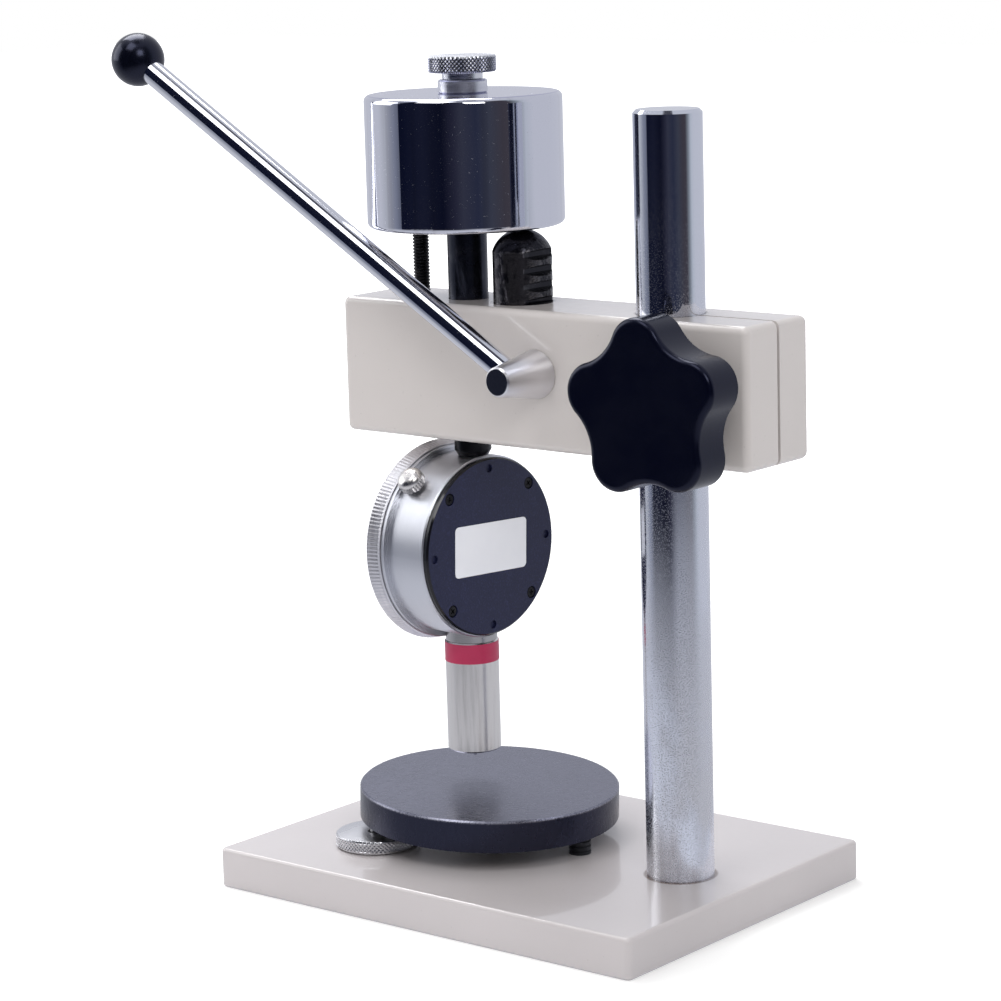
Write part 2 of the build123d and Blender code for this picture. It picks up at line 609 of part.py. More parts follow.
# ================================================================ rack rod
RACK_PITCH = math.pi * GEAR_MODULE
rack_slope = math.tan(math.radians(PRESSURE_ANGLE))
gap_at_pitch = (RACK_PITCH + GEAR_BACKLASH) / 2
gap_at_root = gap_at_pitch / 2 - (RACK_PITCH_LINE - RACK_ROOT_Y) * rack_slope
CUT_OUTSIDE = RACK_DIAMETER / 2 + OVERRUN
gap_outside = gap_at_pitch / 2 + (CUT_OUTSIDE - RACK_PITCH_LINE) * rack_slope
RACK_TOOTHED_TOP = PINION_Z + (RACK_GAPS_ABOVE + 0.5) * RACK_PITCH
with BuildPart() as rack_rod:
    with BuildSketch(Plane.XZ):
        with BuildLine():
            radius = RACK_DIAMETER / 2
            shoulder = RACK_TOP - RACK_DOME_HEIGHT
            sphere = (radius**2 + RACK_DOME_HEIGHT**2) / (2 * RACK_DOME_HEIGHT)
            half = math.asin(radius / sphere) / 2
            on_dome = (sphere * math.sin(half), RACK_TOP - sphere * (1 - math.cos(half)))
            Polyline((0, RACK_TOP), (0, RACK_BOTTOM), (radius, RACK_BOTTOM), (radius, shoulder))
            ThreePointArc((radius, shoulder), on_dome, (0, RACK_TOP))
        make_face()
    revolve(axis=Axis.Z)
    chamfer(rack_rod.faces().sort_by(Axis.Z)[0].edges(), SCREW_POINT)
    # the toothed side: a flat at the tooth tips, then the gaps
    with BuildSketch(Plane.XY.offset(RACK_BOTTOM)):
        with Locations((0, RACK_TIP_Y + RACK_DIAMETER / 2)):
            Rectangle(RACK_DIAMETER, RACK_DIAMETER)
    extrude(amount=RACK_TOOTHED_TOP - RACK_BOTTOM, mode=Mode.SUBTRACT)
    for gap in range(-RACK_GAPS_BELOW, RACK_GAPS_ABOVE + 1):
        middle = PINION_Z + gap * RACK_PITCH
        with BuildSketch(rack_plane.offset(-RACK_DIAMETER / 2)):
            with BuildLine():
                Polyline(
                    (RACK_ROOT_Y, middle - gap_at_root),
                    (CUT_OUTSIDE, middle - gap_outside),
                    (CUT_OUTSIDE, middle + gap_outside),
                    (RACK_ROOT_Y, middle + gap_at_root),
                    close=True,
                )
            make_face()
        extrude(amount=RACK_DIAMETER, mode=Mode.SUBTRACT)
finish(rack_rod, "rack_rod")

# ================================================================ star knob
with BuildPart() as star_knob:
    lobe_centre = KNOB_TIP_RADIUS - KNOB_LOBE_RADIUS
    half_step = math.pi / KNOB_LOBES
    valley_radius = (
        lobe_centre**2
        + KNOB_VALLEY_RADIUS**2
        - KNOB_LOBE_RADIUS**2
        - 2 * lobe_centre * KNOB_VALLEY_RADIUS * math.cos(half_step)
    ) / (2 * KNOB_LOBE_RADIUS - 2 * KNOB_VALLEY_RADIUS + 2 * lobe_centre * math.cos(half_step))
    share = KNOB_LOBE_RADIUS / (KNOB_LOBE_RADIUS + valley_radius)

    def knob_joint(lobe_angle, valley_angle):
        """Where a lobe's arc runs into a valley's arc."""
        lobe = Vector(*polar(lobe_centre, lobe_angle))
        valley = Vector(*polar(KNOB_VALLEY_RADIUS + valley_radius, valley_angle))
        return lobe + (valley - lobe) * share

    with BuildSketch(clamp_plane.offset(KNOB_FRONT_X - KNOB_DEPTH)):
        with BuildLine():
            for lobe in range(KNOB_LOBES):
                middle = math.radians(90 + KNOB_TURN) + 2 * lobe * half_step
                before = knob_joint(middle, middle - half_step)
                after = knob_joint(middle, middle + half_step)
                following = knob_joint(middle + 2 * half_step, middle + half_step)
                ThreePointArc(before, polar(KNOB_TIP_RADIUS, middle), after)
                ThreePointArc(after, polar(KNOB_VALLEY_RADIUS, middle + half_step), following)
        make_face()
    extrude(amount=KNOB_DEPTH)
    fillet(star_knob.faces().sort_by(Axis.X)[-1].edges(), KNOB_EDGE_RADIUS)
    chamfer(star_knob.faces().sort_by(Axis.X)[0].edges(), KNOB_BACK_CHAMFER)
    with BuildSketch(clamp_plane.offset(ARM_SIDE + FACE_GAP + WASHER_THICKNESS)):
        Circle(KNOB_BOSS_DIAMETER / 2)
    boss_length = KNOB_FRONT_X - KNOB_DEPTH - ARM_SIDE - FACE_GAP - WASHER_THICKNESS
    extrude(amount=boss_length, taper=KNOB_BOSS_TAPER)
    with BuildSketch(clamp_plane):
        Circle(CLAMP_SCREW_DIAMETER / 2)
    extrude(amount=KNOB_FRONT_X - KNOB_DEPTH / 2, mode=Mode.SUBTRACT)
finish(star_knob, "star_knob")

with BuildPart() as clamp_screw:
    with BuildSketch(clamp_plane.offset(-CLAMP_SCREW_REACH)):
        Circle(CLAMP_SCREW_DIAMETER / 2)
    extrude(amount=CLAMP_SCREW_REACH + KNOB_FRONT_X - KNOB_DEPTH / 2)
    chamfer(clamp_screw.faces().sort_by(Axis.X)[0].edges(), SCREW_POINT)
finish(clamp_screw, "clamp_screw")

with BuildPart() as clamp_washer:
    with BuildSketch(clamp_plane.offset(ARM_SIDE + FACE_GAP)):
        Circle(WASHER_DIAMETER / 2)
        Circle(CLAMP_SCREW_DIAMETER / 2, mode=Mode.SUBTRACT)
    extrude(amount=WASHER_THICKNESS)
finish(clamp_washer, "clamp_washer")

# ================================================================ spindle and weight
STUD_BORE_TOP = SPINDLE_FOOT + STEM_GRIP + OVERRUN
with BuildPart() as spindle:
    with BuildSketch(at(SPINDLE_Y, SPINDLE_FOOT)):
        Circle(SPINDLE_DIAMETER / 2)
    extrude(amount=WEIGHT_BOTTOM - SPINDLE_FOOT)
    with BuildSketch(at(SPINDLE_Y, WEIGHT_BOTTOM)):
        Circle(SPINDLE_NECK_DIAMETER / 2)
    extrude(amount=COLLAR_TOP - WEIGHT_BOTTOM)
    with BuildSketch(at(SPINDLE_Y, SPINDLE_FOOT)):
        Circle(STEM_DIAMETER / 2)
    extrude(amount=STUD_BORE_TOP - SPINDLE_FOOT, mode=Mode.SUBTRACT)
    with BuildSketch(at(SPINDLE_Y, COLLAR_TOP)):
        Circle(TOP_KNOB_SCREW_DIAMETER / 2 + RUNNING)
    extrude(amount=-TOP_KNOB_SCREW_LENGTH - OVERRUN, mode=Mode.SUBTRACT)
finish(spindle, "spindle")

with BuildPart() as weight:
    with BuildSketch(at(SPINDLE_Y, WEIGHT_BOTTOM)):
        Circle(WEIGHT_DIAMETER / 2)
    extrude(amount=WEIGHT_HEIGHT)
    fillet(weight.edges(), WEIGHT_EDGE_RADIUS)
    with BuildSketch(at(SPINDLE_Y, WEIGHT_BOTTOM)):
        Circle(SPINDLE_NECK_DIAMETER / 2)
    extrude(amount=WEIGHT_HEIGHT, mode=Mode.SUBTRACT)
    with BuildSketch(at(GUIDE_ROD_Y, WEIGHT_BOTTOM)):
        Circle(GUIDE_ROD_DIAMETER / 2)
    extrude(amount=GUIDE_ROD_GRIP + OVERRUN, mode=Mode.SUBTRACT)
finish(weight, "weight")

with BuildPart() as collar_nut:
    with BuildSketch(at(SPINDLE_Y, WEIGHT_TOP)):
        Circle(COLLAR_DIAMETER / 2)
    extrude(amount=COLLAR_HEIGHT)
    chamfer(collar_nut.edges(), EDGE_BREAK)
    with BuildSketch(at(SPINDLE_Y, WEIGHT_TOP)):
        Circle(SPINDLE_NECK_DIAMETER / 2)
    extrude(amount=COLLAR_HEIGHT, mode=Mode.SUBTRACT)
finish(collar_nut, "collar_nut")

with BuildPart() as guide_rod:
    with BuildSketch(at(GUIDE_ROD_Y, GUIDE_ROD_BOTTOM)):
        Circle(GUIDE_ROD_DIAMETER / 2)
    extrude(amount=WEIGHT_BOTTOM + GUIDE_ROD_GRIP - GUIDE_ROD_BOTTOM)
    chamfer(guide_rod.faces().sort_by(Axis.Z)[0].edges(), SCREW_POINT)
finish(guide_rod, "guide_rod")

with BuildPart() as guide_nut:
    with BuildSketch(at(GUIDE_ROD_Y, WEIGHT_BOTTOM - GUIDE_NUT_HEIGHT)):
        Circle(GUIDE_NUT_DIAMETER / 2)
        Circle(GUIDE_ROD_DIAMETER / 2, mode=Mode.SUBTRACT)
    extrude(amount=GUIDE_NUT_HEIGHT)
    lower_rim = guide_nut.faces().sort_by(Axis.Z)[0].outer_wire().edges()
    chamfer(lower_rim, EDGE_BREAK)
finish(guide_nut, "guide_nut")

KNOB_BASE = COLLAR_TOP + CONTACT_GAP
with BuildPart() as top_knob:
    with BuildSketch(at(SPINDLE_Y, KNOB_BASE)):
        Circle(TOP_KNOB_NECK_DIAMETER / 2)
    extrude(amount=TOP_KNOB_NECK_HEIGHT)
    with BuildSketch(at(SPINDLE_Y, KNOB_BASE + TOP_KNOB_NECK_HEIGHT)):
        Circle(TOP_KNOB_DIAMETER / 2)
    extrude(amount=TOP_KNOB_HEIGHT)
    chamfer(outer_circles(top_knob, TOP_KNOB_DIAMETER), EDGE_BREAK)
    with BuildSketch(at(SPINDLE_Y, KNOB_BASE)):
        Circle(TOP_KNOB_SCREW_DIAMETER / 2)
    extrude(amount=-TOP_KNOB_SCREW_LENGTH)
finish(top_knob, "top_knob")

# ================================================================ gauge body
STEM_TOP = SPINDLE_FOOT + STEM_GRIP
with BuildPart() as gauge_case:
    with BuildSketch(gauge_plane.offset(COVER_FACE)):
        Circle(CASE_RADIUS)
    extrude(amount=CASE_FRONT - COVER_FACE)
    with BuildSketch(gauge_plane.offset(CASE_STEP_START - CASE_GROOVE_WIDTH)):
        Circle(CASE_RADIUS + CASE_GROOVE_HEIGHT)
    extrude(amount=CASE_GROOVE_WIDTH)
    with BuildSketch(gauge_plane.offset(CASE_STEP_START)):
        Circle(CASE_STEP_RADIUS)
    extrude(amount=CASE_FRONT - CASE_STEP_START)
    back_rim = gauge_case.edges().sort_by(Axis(GAUGE_CENTRE, GAUGE_FORWARD))[0]
    chamfer(back_rim, CASE_BACK_CHAMFER)
    with BuildSketch(gauge_plane.offset(COVER_FACE)):
        Circle(CASE_INNER_RADIUS)
    extrude(amount=CASE_FRONT - COVER_FACE, mode=Mode.SUBTRACT)
    # lugs for the cover screws
    with BuildSketch(gauge_plane.offset(COVER_FACE)):
        with PolarLocations(COVER_SCREW_CIRCLE, 4, start_angle=45):
            Circle(COVER_LUG_DIAMETER / 2)
    extrude(amount=COVER_SCREW_LENGTH + OVERRUN)
    with BuildSketch(gauge_plane.offset(COVER_FACE)):
        with PolarLocations(COVER_SCREW_CIRCLE, 4, start_angle=45):
            Circle(COVER_SCREW_DIAMETER / 2)
    extrude(amount=COVER_SCREW_LENGTH, mode=Mode.SUBTRACT)
    # sockets for the foot below, the stem above and the bezel screw at the side
    with BuildSketch(foot_plane.offset(FOOT_TOP)):
        Circle(FOOT_NECK_DIAMETER / 2)
    extrude(amount=FOOT_NECK_TOP - FOOT_TOP + OVERRUN, mode=Mode.SUBTRACT)
    with BuildSketch(at(SPINDLE_Y, GAUGE_Z + CASE_INNER_RADIUS - OVERRUN)):
        Circle(STEM_DIAMETER / 2)
    extrude(amount=CASE_WALL + 2 * OVERRUN, mode=Mode.SUBTRACT)
    screw_side = math.radians(BEZEL_SCREW_ANGLE)
    SCREW_OUT = GAUGE_SIDEWAYS * math.cos(screw_side) + Vector(0, 0, math.sin(screw_side))
    SCREW_FOOT = GAUGE_CENTRE + GAUGE_FORWARD * BEZEL_SCREW_OFFSET
    screw_plane = Plane(origin=SCREW_FOOT, x_dir=GAUGE_FORWARD, z_dir=SCREW_OUT)
    with BuildSketch(screw_plane.offset(CASE_INNER_RADIUS - OVERRUN)):
        Circle(BEZEL_SCREW_DIAMETER / 2 + RUNNING)
    extrude(amount=CASE_WALL + 2 * OVERRUN, mode=Mode.SUBTRACT)
finish(gauge_case, "gauge_case")

with BuildPart() as back_cover:
    with BuildSketch(gauge_plane.offset(GAUGE_BACK)):
        Circle(COVER_RADIUS)
    extrude(amount=COVER_THICKNESS)
    cover_axis = Axis(GAUGE_CENTRE, GAUGE_FORWARD)
    chamfer(back_cover.faces().sort_by(cover_axis)[0].edges(), COVER_CHAMFER)
    with BuildSketch(gauge_plane.offset(GAUGE_BACK)):
        with PolarLocations(COVER_SCREW_CIRCLE, 4, start_angle=45):
            Circle(COVER_SCREW_HEAD_DIAMETER / 2 + RIM_CLEARANCE)
    extrude(amount=COVER_SCREW_SINK + COVER_SCREW_HEAD_HEIGHT, mode=Mode.SUBTRACT)
    with BuildSketch(gauge_plane.offset(GAUGE_BACK)):
        with PolarLocations(COVER_SCREW_CIRCLE, 4, start_angle=45):
            Circle(COVER_SCREW_DIAMETER / 2)
    extrude(amount=COVER_THICKNESS, mode=Mode.SUBTRACT)
    # four small blind dimples between the screws
    with BuildSketch(gauge_plane.offset(GAUGE_BACK)):
        with PolarLocations(COVER_SCREW_CIRCLE, 4, start_angle=0):
            Circle(COVER_DIMPLE_DIAMETER / 2)
    extrude(amount=COVER_DIMPLE_DEPTH, mode=Mode.SUBTRACT)
finish(back_cover, "back_cover")

with BuildPart() as cover_screws:
    with BuildSketch(gauge_plane.offset(GAUGE_BACK + COVER_SCREW_SINK)):
        with PolarLocations(COVER_SCREW_CIRCLE, 4, start_angle=45):
            Circle(COVER_SCREW_HEAD_DIAMETER / 2)
    extrude(amount=COVER_SCREW_HEAD_HEIGHT)
    under_heads = GAUGE_BACK + COVER_SCREW_SINK + COVER_SCREW_HEAD_HEIGHT
    with BuildSketch(gauge_plane.offset(under_heads)):
        with PolarLocations(COVER_SCREW_CIRCLE, 4, start_angle=45):
            Circle(COVER_SCREW_DIAMETER / 2)
    extrude(amount=COVER_FACE + COVER_SCREW_LENGTH - SCREW_CLEARANCE - under_heads)
finish(cover_screws, "cover_screws")

STEM_FOOT = GAUGE_Z + CASE_INNER_RADIUS - OVERRUN / 2
with BuildPart() as gauge_stem:
    with BuildSketch(at(SPINDLE_Y, STEM_FOOT)):
        Circle(STEM_DIAMETER / 2)
    extrude(amount=STEM_TOP - STEM_FOOT)
finish(gauge_stem, "gauge_stem")

with BuildPart() as stem_nut:
    with BuildSketch(at(SPINDLE_Y, CASE_TOP)):
        Circle(STEM_NUT_DIAMETER / 2)
    extrude(amount=SPINDLE_FOOT - CASE_TOP)
    chamfer(stem_nut.faces().sort_by(Axis.Z)[0].edges(), STEM_NUT_TAPER, STEM_NUT_INSET)
    with BuildSketch(at(SPINDLE_Y, CASE_TOP)):
        Circle(STEM_DIAMETER / 2)
    extrude(amount=SPINDLE_FOOT - CASE_TOP, mode=Mode.SUBTRACT)
finish(stem_nut, "stem_nut")

# ---------------------------------------------------------------- bezel, crystal and dial
with BuildPart() as bezel:
    with BuildSketch(Plane(origin=GAUGE_CENTRE, x_dir=GAUGE_SIDEWAYS, z_dir=(0, 0, 1))):
        with BuildLine():
            face_edge = BEZEL_FRONT_RADIUS - BEZEL_CHAMFER
            Polyline(
                (BEZEL_SEAT_RADIUS, -BEZEL_REAR),
                (BEZEL_REAR_RADIUS, -BEZEL_REAR),
                (BEZEL_REAR_RADIUS, -BEZEL_REAR - BEZEL_PLAIN_WIDTH),
                (BEZEL_FRONT_RADIUS, -BEZEL_FRONT + BEZEL_CHAMFER),
                (face_edge, -BEZEL_FRONT),
                (face_edge - BEZEL_FACE_WIDTH, -BEZEL_FRONT),
                (BEZEL_WINDOW_RADIUS, -CRYSTAL_FRONT),
                (BEZEL_SEAT_RADIUS, -CRYSTAL_FRONT),
                close=True,
            )
        make_face()
    revolve(axis=Axis(GAUGE_CENTRE, GAUGE_FORWARD))
finish(bezel, "bezel")

with BuildPart() as crystal:
    with BuildSketch(gauge_plane.offset(CRYSTAL_FRONT - CRYSTAL_THICKNESS)):
        Circle(BEZEL_SEAT_RADIUS)
    extrude(amount=CRYSTAL_THICKNESS)
finish(crystal, "crystal")

with BuildPart() as dial_plate:
    with BuildSketch(gauge_plane.offset(DIAL_FRONT - DIAL_THICKNESS)):
        Circle(BEZEL_SEAT_RADIUS)
        Circle(DIAL_BORE_DIAMETER / 2, mode=Mode.SUBTRACT)
    extrude(amount=DIAL_THICKNESS)
finish(dial_plate, "dial_plate")

with BuildPart() as bezel_screw:
    head_foot = CASE_RADIUS + BEZEL_SCREW_STANDOFF
    with BuildSketch(screw_plane.offset(head_foot)):
        Circle(BEZEL_SCREW_HEAD_DIAMETER / 2)
    extrude(amount=BEZEL_SCREW_HEAD_HEIGHT + BEZEL_SCREW_DOME)
    head_axis = Axis(SCREW_FOOT, SCREW_OUT)
    fillet(bezel_screw.faces().sort_by(head_axis)[-1].edges(), BEZEL_SCREW_DOME)
    with BuildSketch(screw_plane.offset(CASE_INNER_RADIUS)):
        Circle(BEZEL_SCREW_DIAMETER / 2)
    extrude(amount=head_foot - CASE_INNER_RADIUS)
finish(bezel_screw, "bezel_screw")

# ================================================================ presser foot
SPRING_SEAT = FOOT_TOP - FOOT_ROOF
COLLAR_FOOT = FOOT_BOTTOM + FOOT_FLOOR + FACE_GAP
SPRING_FOOT = COLLAR_FOOT + INDENTER_COLLAR_HEIGHT
SADDLE = CASE_BOTTOM + FOOT_SADDLE_HEIGHT
with BuildPart() as foot_barrel:
    with BuildSketch(foot_plane.offset(FOOT_BOTTOM)):
        Circle(FOOT_DIAMETER / 2)
    extrude(amount=FOOT_TOP - FOOT_BOTTOM)
    chamfer(foot_barrel.edges(), FOOT_CHAMFER)
    with BuildSketch(foot_plane.offset(FOOT_TOP)):
        Circle(FOOT_NECK_DIAMETER / 2)
    extrude(amount=FOOT_NECK_TOP - FOOT_TOP)
    with BuildSketch(foot_plane.offset(FOOT_BOTTOM)):
        Circle(FOOT_HOLE_DIAMETER / 2)
    extrude(amount=FOOT_FLOOR, mode=Mode.SUBTRACT)
    with BuildSketch(foot_plane.offset(FOOT_BOTTOM + FOOT_FLOOR)):
        Circle(FOOT_BORE_DIAMETER / 2)
    extrude(amount=SPRING_SEAT - FOOT_BOTTOM - FOOT_FLOOR, mode=Mode.SUBTRACT)
    with BuildSketch(foot_plane.offset(SPRING_SEAT)):
        Circle(FOOT_NECK_BORE_DIAMETER / 2)
    extrude(amount=FOOT_NECK_TOP - SPRING_SEAT, mode=Mode.SUBTRACT)
finish(foot_barrel, "foot_barrel")

with BuildPart() as foot_ring:
    with BuildSketch(foot_plane.offset(FOOT_TOP)):
        Circle(FOOT_DIAMETER / 2 - FOOT_RING_STEP)
        Circle(FOOT_NECK_DIAMETER / 2, mode=Mode.SUBTRACT)
    extrude(amount=SADDLE - FOOT_TOP)
    with BuildSketch(gauge_plane.offset(GAUGE_BACK)):
        Circle(CASE_RADIUS)
    extrude(amount=CASE_FRONT - GAUGE_BACK, mode=Mode.SUBTRACT)
    with BuildSketch(gauge_plane.offset(CASE_STEP_START - CASE_GROOVE_WIDTH)):
        Circle(CASE_RADIUS + CASE_GROOVE_HEIGHT)
    extrude(amount=CASE_GROOVE_WIDTH, mode=Mode.SUBTRACT)
    with BuildSketch(gauge_plane.offset(CASE_STEP_START)):
        Circle(CASE_STEP_RADIUS)
    extrude(amount=CASE_FRONT - CASE_STEP_START, mode=Mode.SUBTRACT)
finish(foot_ring, "foot_ring")

with BuildPart() as foot_band:
    with BuildSketch(foot_plane.offset(BAND_TOP - BAND_HEIGHT)):
        Circle(FOOT_DIAMETER / 2 + BAND_THICKNESS)
        Circle(FOOT_DIAMETER / 2, mode=Mode.SUBTRACT)
    extrude(amount=BAND_HEIGHT)
finish(foot_band, "foot_band")

# ---------------------------------------------------------------- indenter with its fine rack
TIP_Z = FOOT_BOTTOM - INDENTER_TRAVEL
TRANSFER_Z = GAUGE_Z + TRANSFER_Y
fine_pitch = math.pi * RACK_PINION_MODULE
ROD_TOP = TRANSFER_Z + FINE_RACK_ABOVE * fine_pitch
cone_height = (INDENTER_DIAMETER - INDENTER_TIP_DIAMETER) / 2
cone_height = cone_height / math.tan(math.radians(INDENTER_TIP_CONE / 2))
with BuildPart() as indenter:
    with BuildSketch(Plane(origin=FOOT_AXIS, x_dir=GAUGE_SIDEWAYS, z_dir=GAUGE_FORWARD)):
        with BuildLine():
            Polyline(
                (0, TIP_Z),
                (INDENTER_TIP_DIAMETER / 2, TIP_Z),
                (INDENTER_DIAMETER / 2, TIP_Z + cone_height),
                (INDENTER_DIAMETER / 2, COLLAR_FOOT),
                (INDENTER_COLLAR_DIAMETER / 2, COLLAR_FOOT),
                (INDENTER_COLLAR_DIAMETER / 2, COLLAR_FOOT + INDENTER_COLLAR_HEIGHT),
                (INDENTER_ROD_DIAMETER / 2, COLLAR_FOOT + INDENTER_COLLAR_HEIGHT),
                (INDENTER_ROD_DIAMETER / 2, ROD_TOP),
                (0, ROD_TOP),
                close=True,
            )
        make_face()
    revolve(axis=Axis(FOOT_AXIS, (0, 0, 1)))
    fine_root = FINE_RACK_PITCH_LINE - FINE_RACK_DEDENDUM
    fine_outside = INDENTER_ROD_DIAMETER / 2 + OVERRUN / 2
    slope = math.tan(math.radians(PRESSURE_ANGLE))
    fine_half = fine_pitch / 4 + FINE_BACKLASH / 2
    fine_gap = Plane(
        origin=FOOT_AXIS + GAUGE_FORWARD * INDENTER_ROD_DIAMETER, x_dir=-GAUGE_SIDEWAYS,
        z_dir=-GAUGE_FORWARD,
    )
    for gap in range(FINE_RACK_GAPS):
        height = TRANSFER_Z + (gap - FINE_RACK_GAPS + FINE_RACK_ABOVE) * fine_pitch
        low = fine_half - (FINE_RACK_PITCH_LINE - fine_root) * slope
        high = fine_half + (fine_outside - FINE_RACK_PITCH_LINE) * slope
        with BuildSketch(fine_gap):
            with BuildLine():
                Polyline(
                    (fine_root, height - low),
                    (fine_outside, height - high),
                    (fine_outside, height + high),
                    (fine_root, height + low),
                    close=True,
                )
            make_face()
        extrude(amount=2 * INDENTER_ROD_DIAMETER, mode=Mode.SUBTRACT)
finish(indenter, "indenter")

SPRING_LENGTH = SPRING_SEAT - SPRING_FOOT - SPRING_WIRE_DIAMETER - 2 * CONTACT_GAP
spring_radius = (SPRING_DIAMETER - SPRING_WIRE_DIAMETER) / 2
with BuildPart() as indenter_spring:
    with BuildLine():
        spring_axis = Helix(
            SPRING_LENGTH / SPRING_TURNS,
            SPRING_LENGTH,
            spring_radius,
            center=FOOT_AXIS + Vector(0, 0, SPRING_FOOT + SPRING_WIRE_DIAMETER / 2 + CONTACT_GAP),
        )
    with BuildSketch(Plane(origin=spring_axis @ 0, z_dir=spring_axis % 0)):
        RegularPolygon(SPRING_WIRE_DIAMETER / 2, 5)
    sweep(is_frenet=True)
finish(indenter_spring, "indenter_spring")

# ================================================================ dial movement
with BuildPart() as movement_plate:
    with BuildSketch(gauge_plane.offset(PLATE_BACK)):
        Circle(PLATE_RADIUS)
        Circle(ARBOR_RADIUS + RUNNING, mode=Mode.SUBTRACT)
        with Locations((TRANSFER_X, TRANSFER_Y)):
            Circle(ARBOR_RADIUS + RUNNING, mode=Mode.SUBTRACT)
    extrude(amount=PLATE_THICKNESS)
    with BuildSketch(gauge_plane.offset(COVER_FACE)):
        with PolarLocations(PILLAR_CIRCLE, 3, start_angle=90):
            Circle(PILLAR_DIAMETER / 2)
    extrude(amount=PLATE_BACK - COVER_FACE)
finish(movement_plate, "movement_plate")

WHEEL_BACK = PLATE_BACK + PLATE_THICKNESS + WHEEL_STANDOFF
CENTRE_PINION_BACK = WHEEL_BACK - (CENTRE_PINION_FACE - TRANSFER_WHEEL_THICKNESS) / 2
with BuildPart() as transfer_wheel:
    arbor_plane = Plane(
        origin=gauge_plane.from_local_coords(Vector(TRANSFER_X, TRANSFER_Y, 0)),
        x_dir=GAUGE_SIDEWAYS,
        z_dir=GAUGE_FORWARD,
    )
    to_centre = math.degrees(math.atan2(-TRANSFER_Y, -TRANSFER_X))
    with BuildSketch(arbor_plane.offset(WHEEL_BACK)):
        with BuildLine():
            gear_outline(
                TRANSFER_TEETH,
                TRAIN_MODULE,
                TRAIN_ADDENDUM,
                TRAIN_DEDENDUM,
                FINE_BACKLASH,
                to_centre,
            )
        make_face()
    extrude(amount=TRANSFER_WHEEL_THICKNESS)
    with BuildSketch(arbor_plane.offset(FOOT_OFFSET - RACK_PINION_FACE / 2)):
        with BuildLine():
            gear_outline(
                RACK_PINION_TEETH,
                RACK_PINION_MODULE,
                RACK_PINION_ADDENDUM,
                FINE_RACK_DEDENDUM,
                FINE_BACKLASH,
                0,
            )
        make_face()
    extrude(amount=RACK_PINION_FACE)
    with BuildSketch(arbor_plane.offset(ARBOR_START)):
        Circle(ARBOR_RADIUS)
    extrude(amount=WHEEL_BACK + TRANSFER_WHEEL_THICKNESS + ARBOR_STUB - ARBOR_START)
finish(transfer_wheel, "transfer_wheel")

POINTER_BACK = DIAL_FRONT + POINTER_STANDOFF
with BuildPart() as pointer_arbor:
    with BuildSketch(gauge_plane.offset(CENTRE_PINION_BACK)):
        with BuildLine():
            gear_outline(
                CENTRE_TEETH,
                TRAIN_MODULE,
                TRAIN_ADDENDUM,
                TRAIN_DEDENDUM,
                FINE_BACKLASH,
                to_centre + 180 + 180 / CENTRE_TEETH,
            )
        make_face()
    extrude(amount=CENTRE_PINION_FACE)
    with BuildSketch(gauge_plane.offset(PLATE_BACK + RIM_CLEARANCE)):
        Circle(ARBOR_RADIUS)
    extrude(amount=POINTER_BACK + POINTER_THICKNESS + ARBOR_STUB - PLATE_BACK - RIM_CLEARANCE)
finish(pointer_arbor, "pointer_arbor")

with BuildPart() as pointer:
    aim = math.radians(POINTER_START)
    with BuildSketch(gauge_plane.offset(POINTER_BACK)):
        Circle(POINTER_WIDTH)
        with BuildLine():
            along = Vector(math.cos(aim), math.sin(aim))
            across = Vector(-math.sin(aim), math.cos(aim))
            tail = along * -POINTER_TAIL
            Polyline(
                along * POINTER_LENGTH,
                across * (POINTER_WIDTH / 2),
                tail + across * (POINTER_TAIL_WIDTH / 2),
                tail - across * (POINTER_TAIL_WIDTH / 2),
                across * (-POINTER_WIDTH / 2),
                close=True,
            )
        make_face()
        Circle(ARBOR_RADIUS, mode=Mode.SUBTRACT)
    extrude(amount=POINTER_THICKNESS)
finish(pointer, "pointer")
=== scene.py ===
"""Looks of a rubber hardness tester on its stand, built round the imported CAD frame."""
import json
import math

import bmesh
import bpy
from mathutils import Matrix, Vector


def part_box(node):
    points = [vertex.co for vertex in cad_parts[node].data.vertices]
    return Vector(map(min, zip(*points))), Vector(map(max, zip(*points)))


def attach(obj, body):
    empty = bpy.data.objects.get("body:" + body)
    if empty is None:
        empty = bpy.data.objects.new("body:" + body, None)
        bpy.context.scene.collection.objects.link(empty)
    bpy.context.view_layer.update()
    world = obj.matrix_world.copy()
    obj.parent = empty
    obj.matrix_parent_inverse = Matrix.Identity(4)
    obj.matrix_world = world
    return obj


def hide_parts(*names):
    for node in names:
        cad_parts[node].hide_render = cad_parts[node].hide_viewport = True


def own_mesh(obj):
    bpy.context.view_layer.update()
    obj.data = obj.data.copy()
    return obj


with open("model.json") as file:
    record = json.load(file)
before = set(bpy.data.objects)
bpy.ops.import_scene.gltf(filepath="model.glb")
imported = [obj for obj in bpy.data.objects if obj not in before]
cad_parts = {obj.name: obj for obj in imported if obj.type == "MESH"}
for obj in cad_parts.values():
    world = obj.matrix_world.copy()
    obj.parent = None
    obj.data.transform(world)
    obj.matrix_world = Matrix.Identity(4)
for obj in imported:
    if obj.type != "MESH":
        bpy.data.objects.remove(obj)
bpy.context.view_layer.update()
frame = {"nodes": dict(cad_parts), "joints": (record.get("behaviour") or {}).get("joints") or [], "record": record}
nodes = frame["nodes"]
joints = {j["name"]: j for j in frame["joints"]}
slot_of = {s["node"]: s["material_slot"] for s in frame["record"]["subparts"]}
MM = 0.001
UP = Vector((0, 0, 1))

# ------------------------------------------------------------------ places read from the frame
GAUGE = Vector(joints["bezel_turn"]["pos_m"])
FORWARD = Vector(joints["bezel_turn"]["axis"]).normalized()
SIDEWAYS = UP.cross(FORWARD)
GAUGE_TURN = (0, 0, math.atan2(SIDEWAYS.y, SIDEWAYS.x))


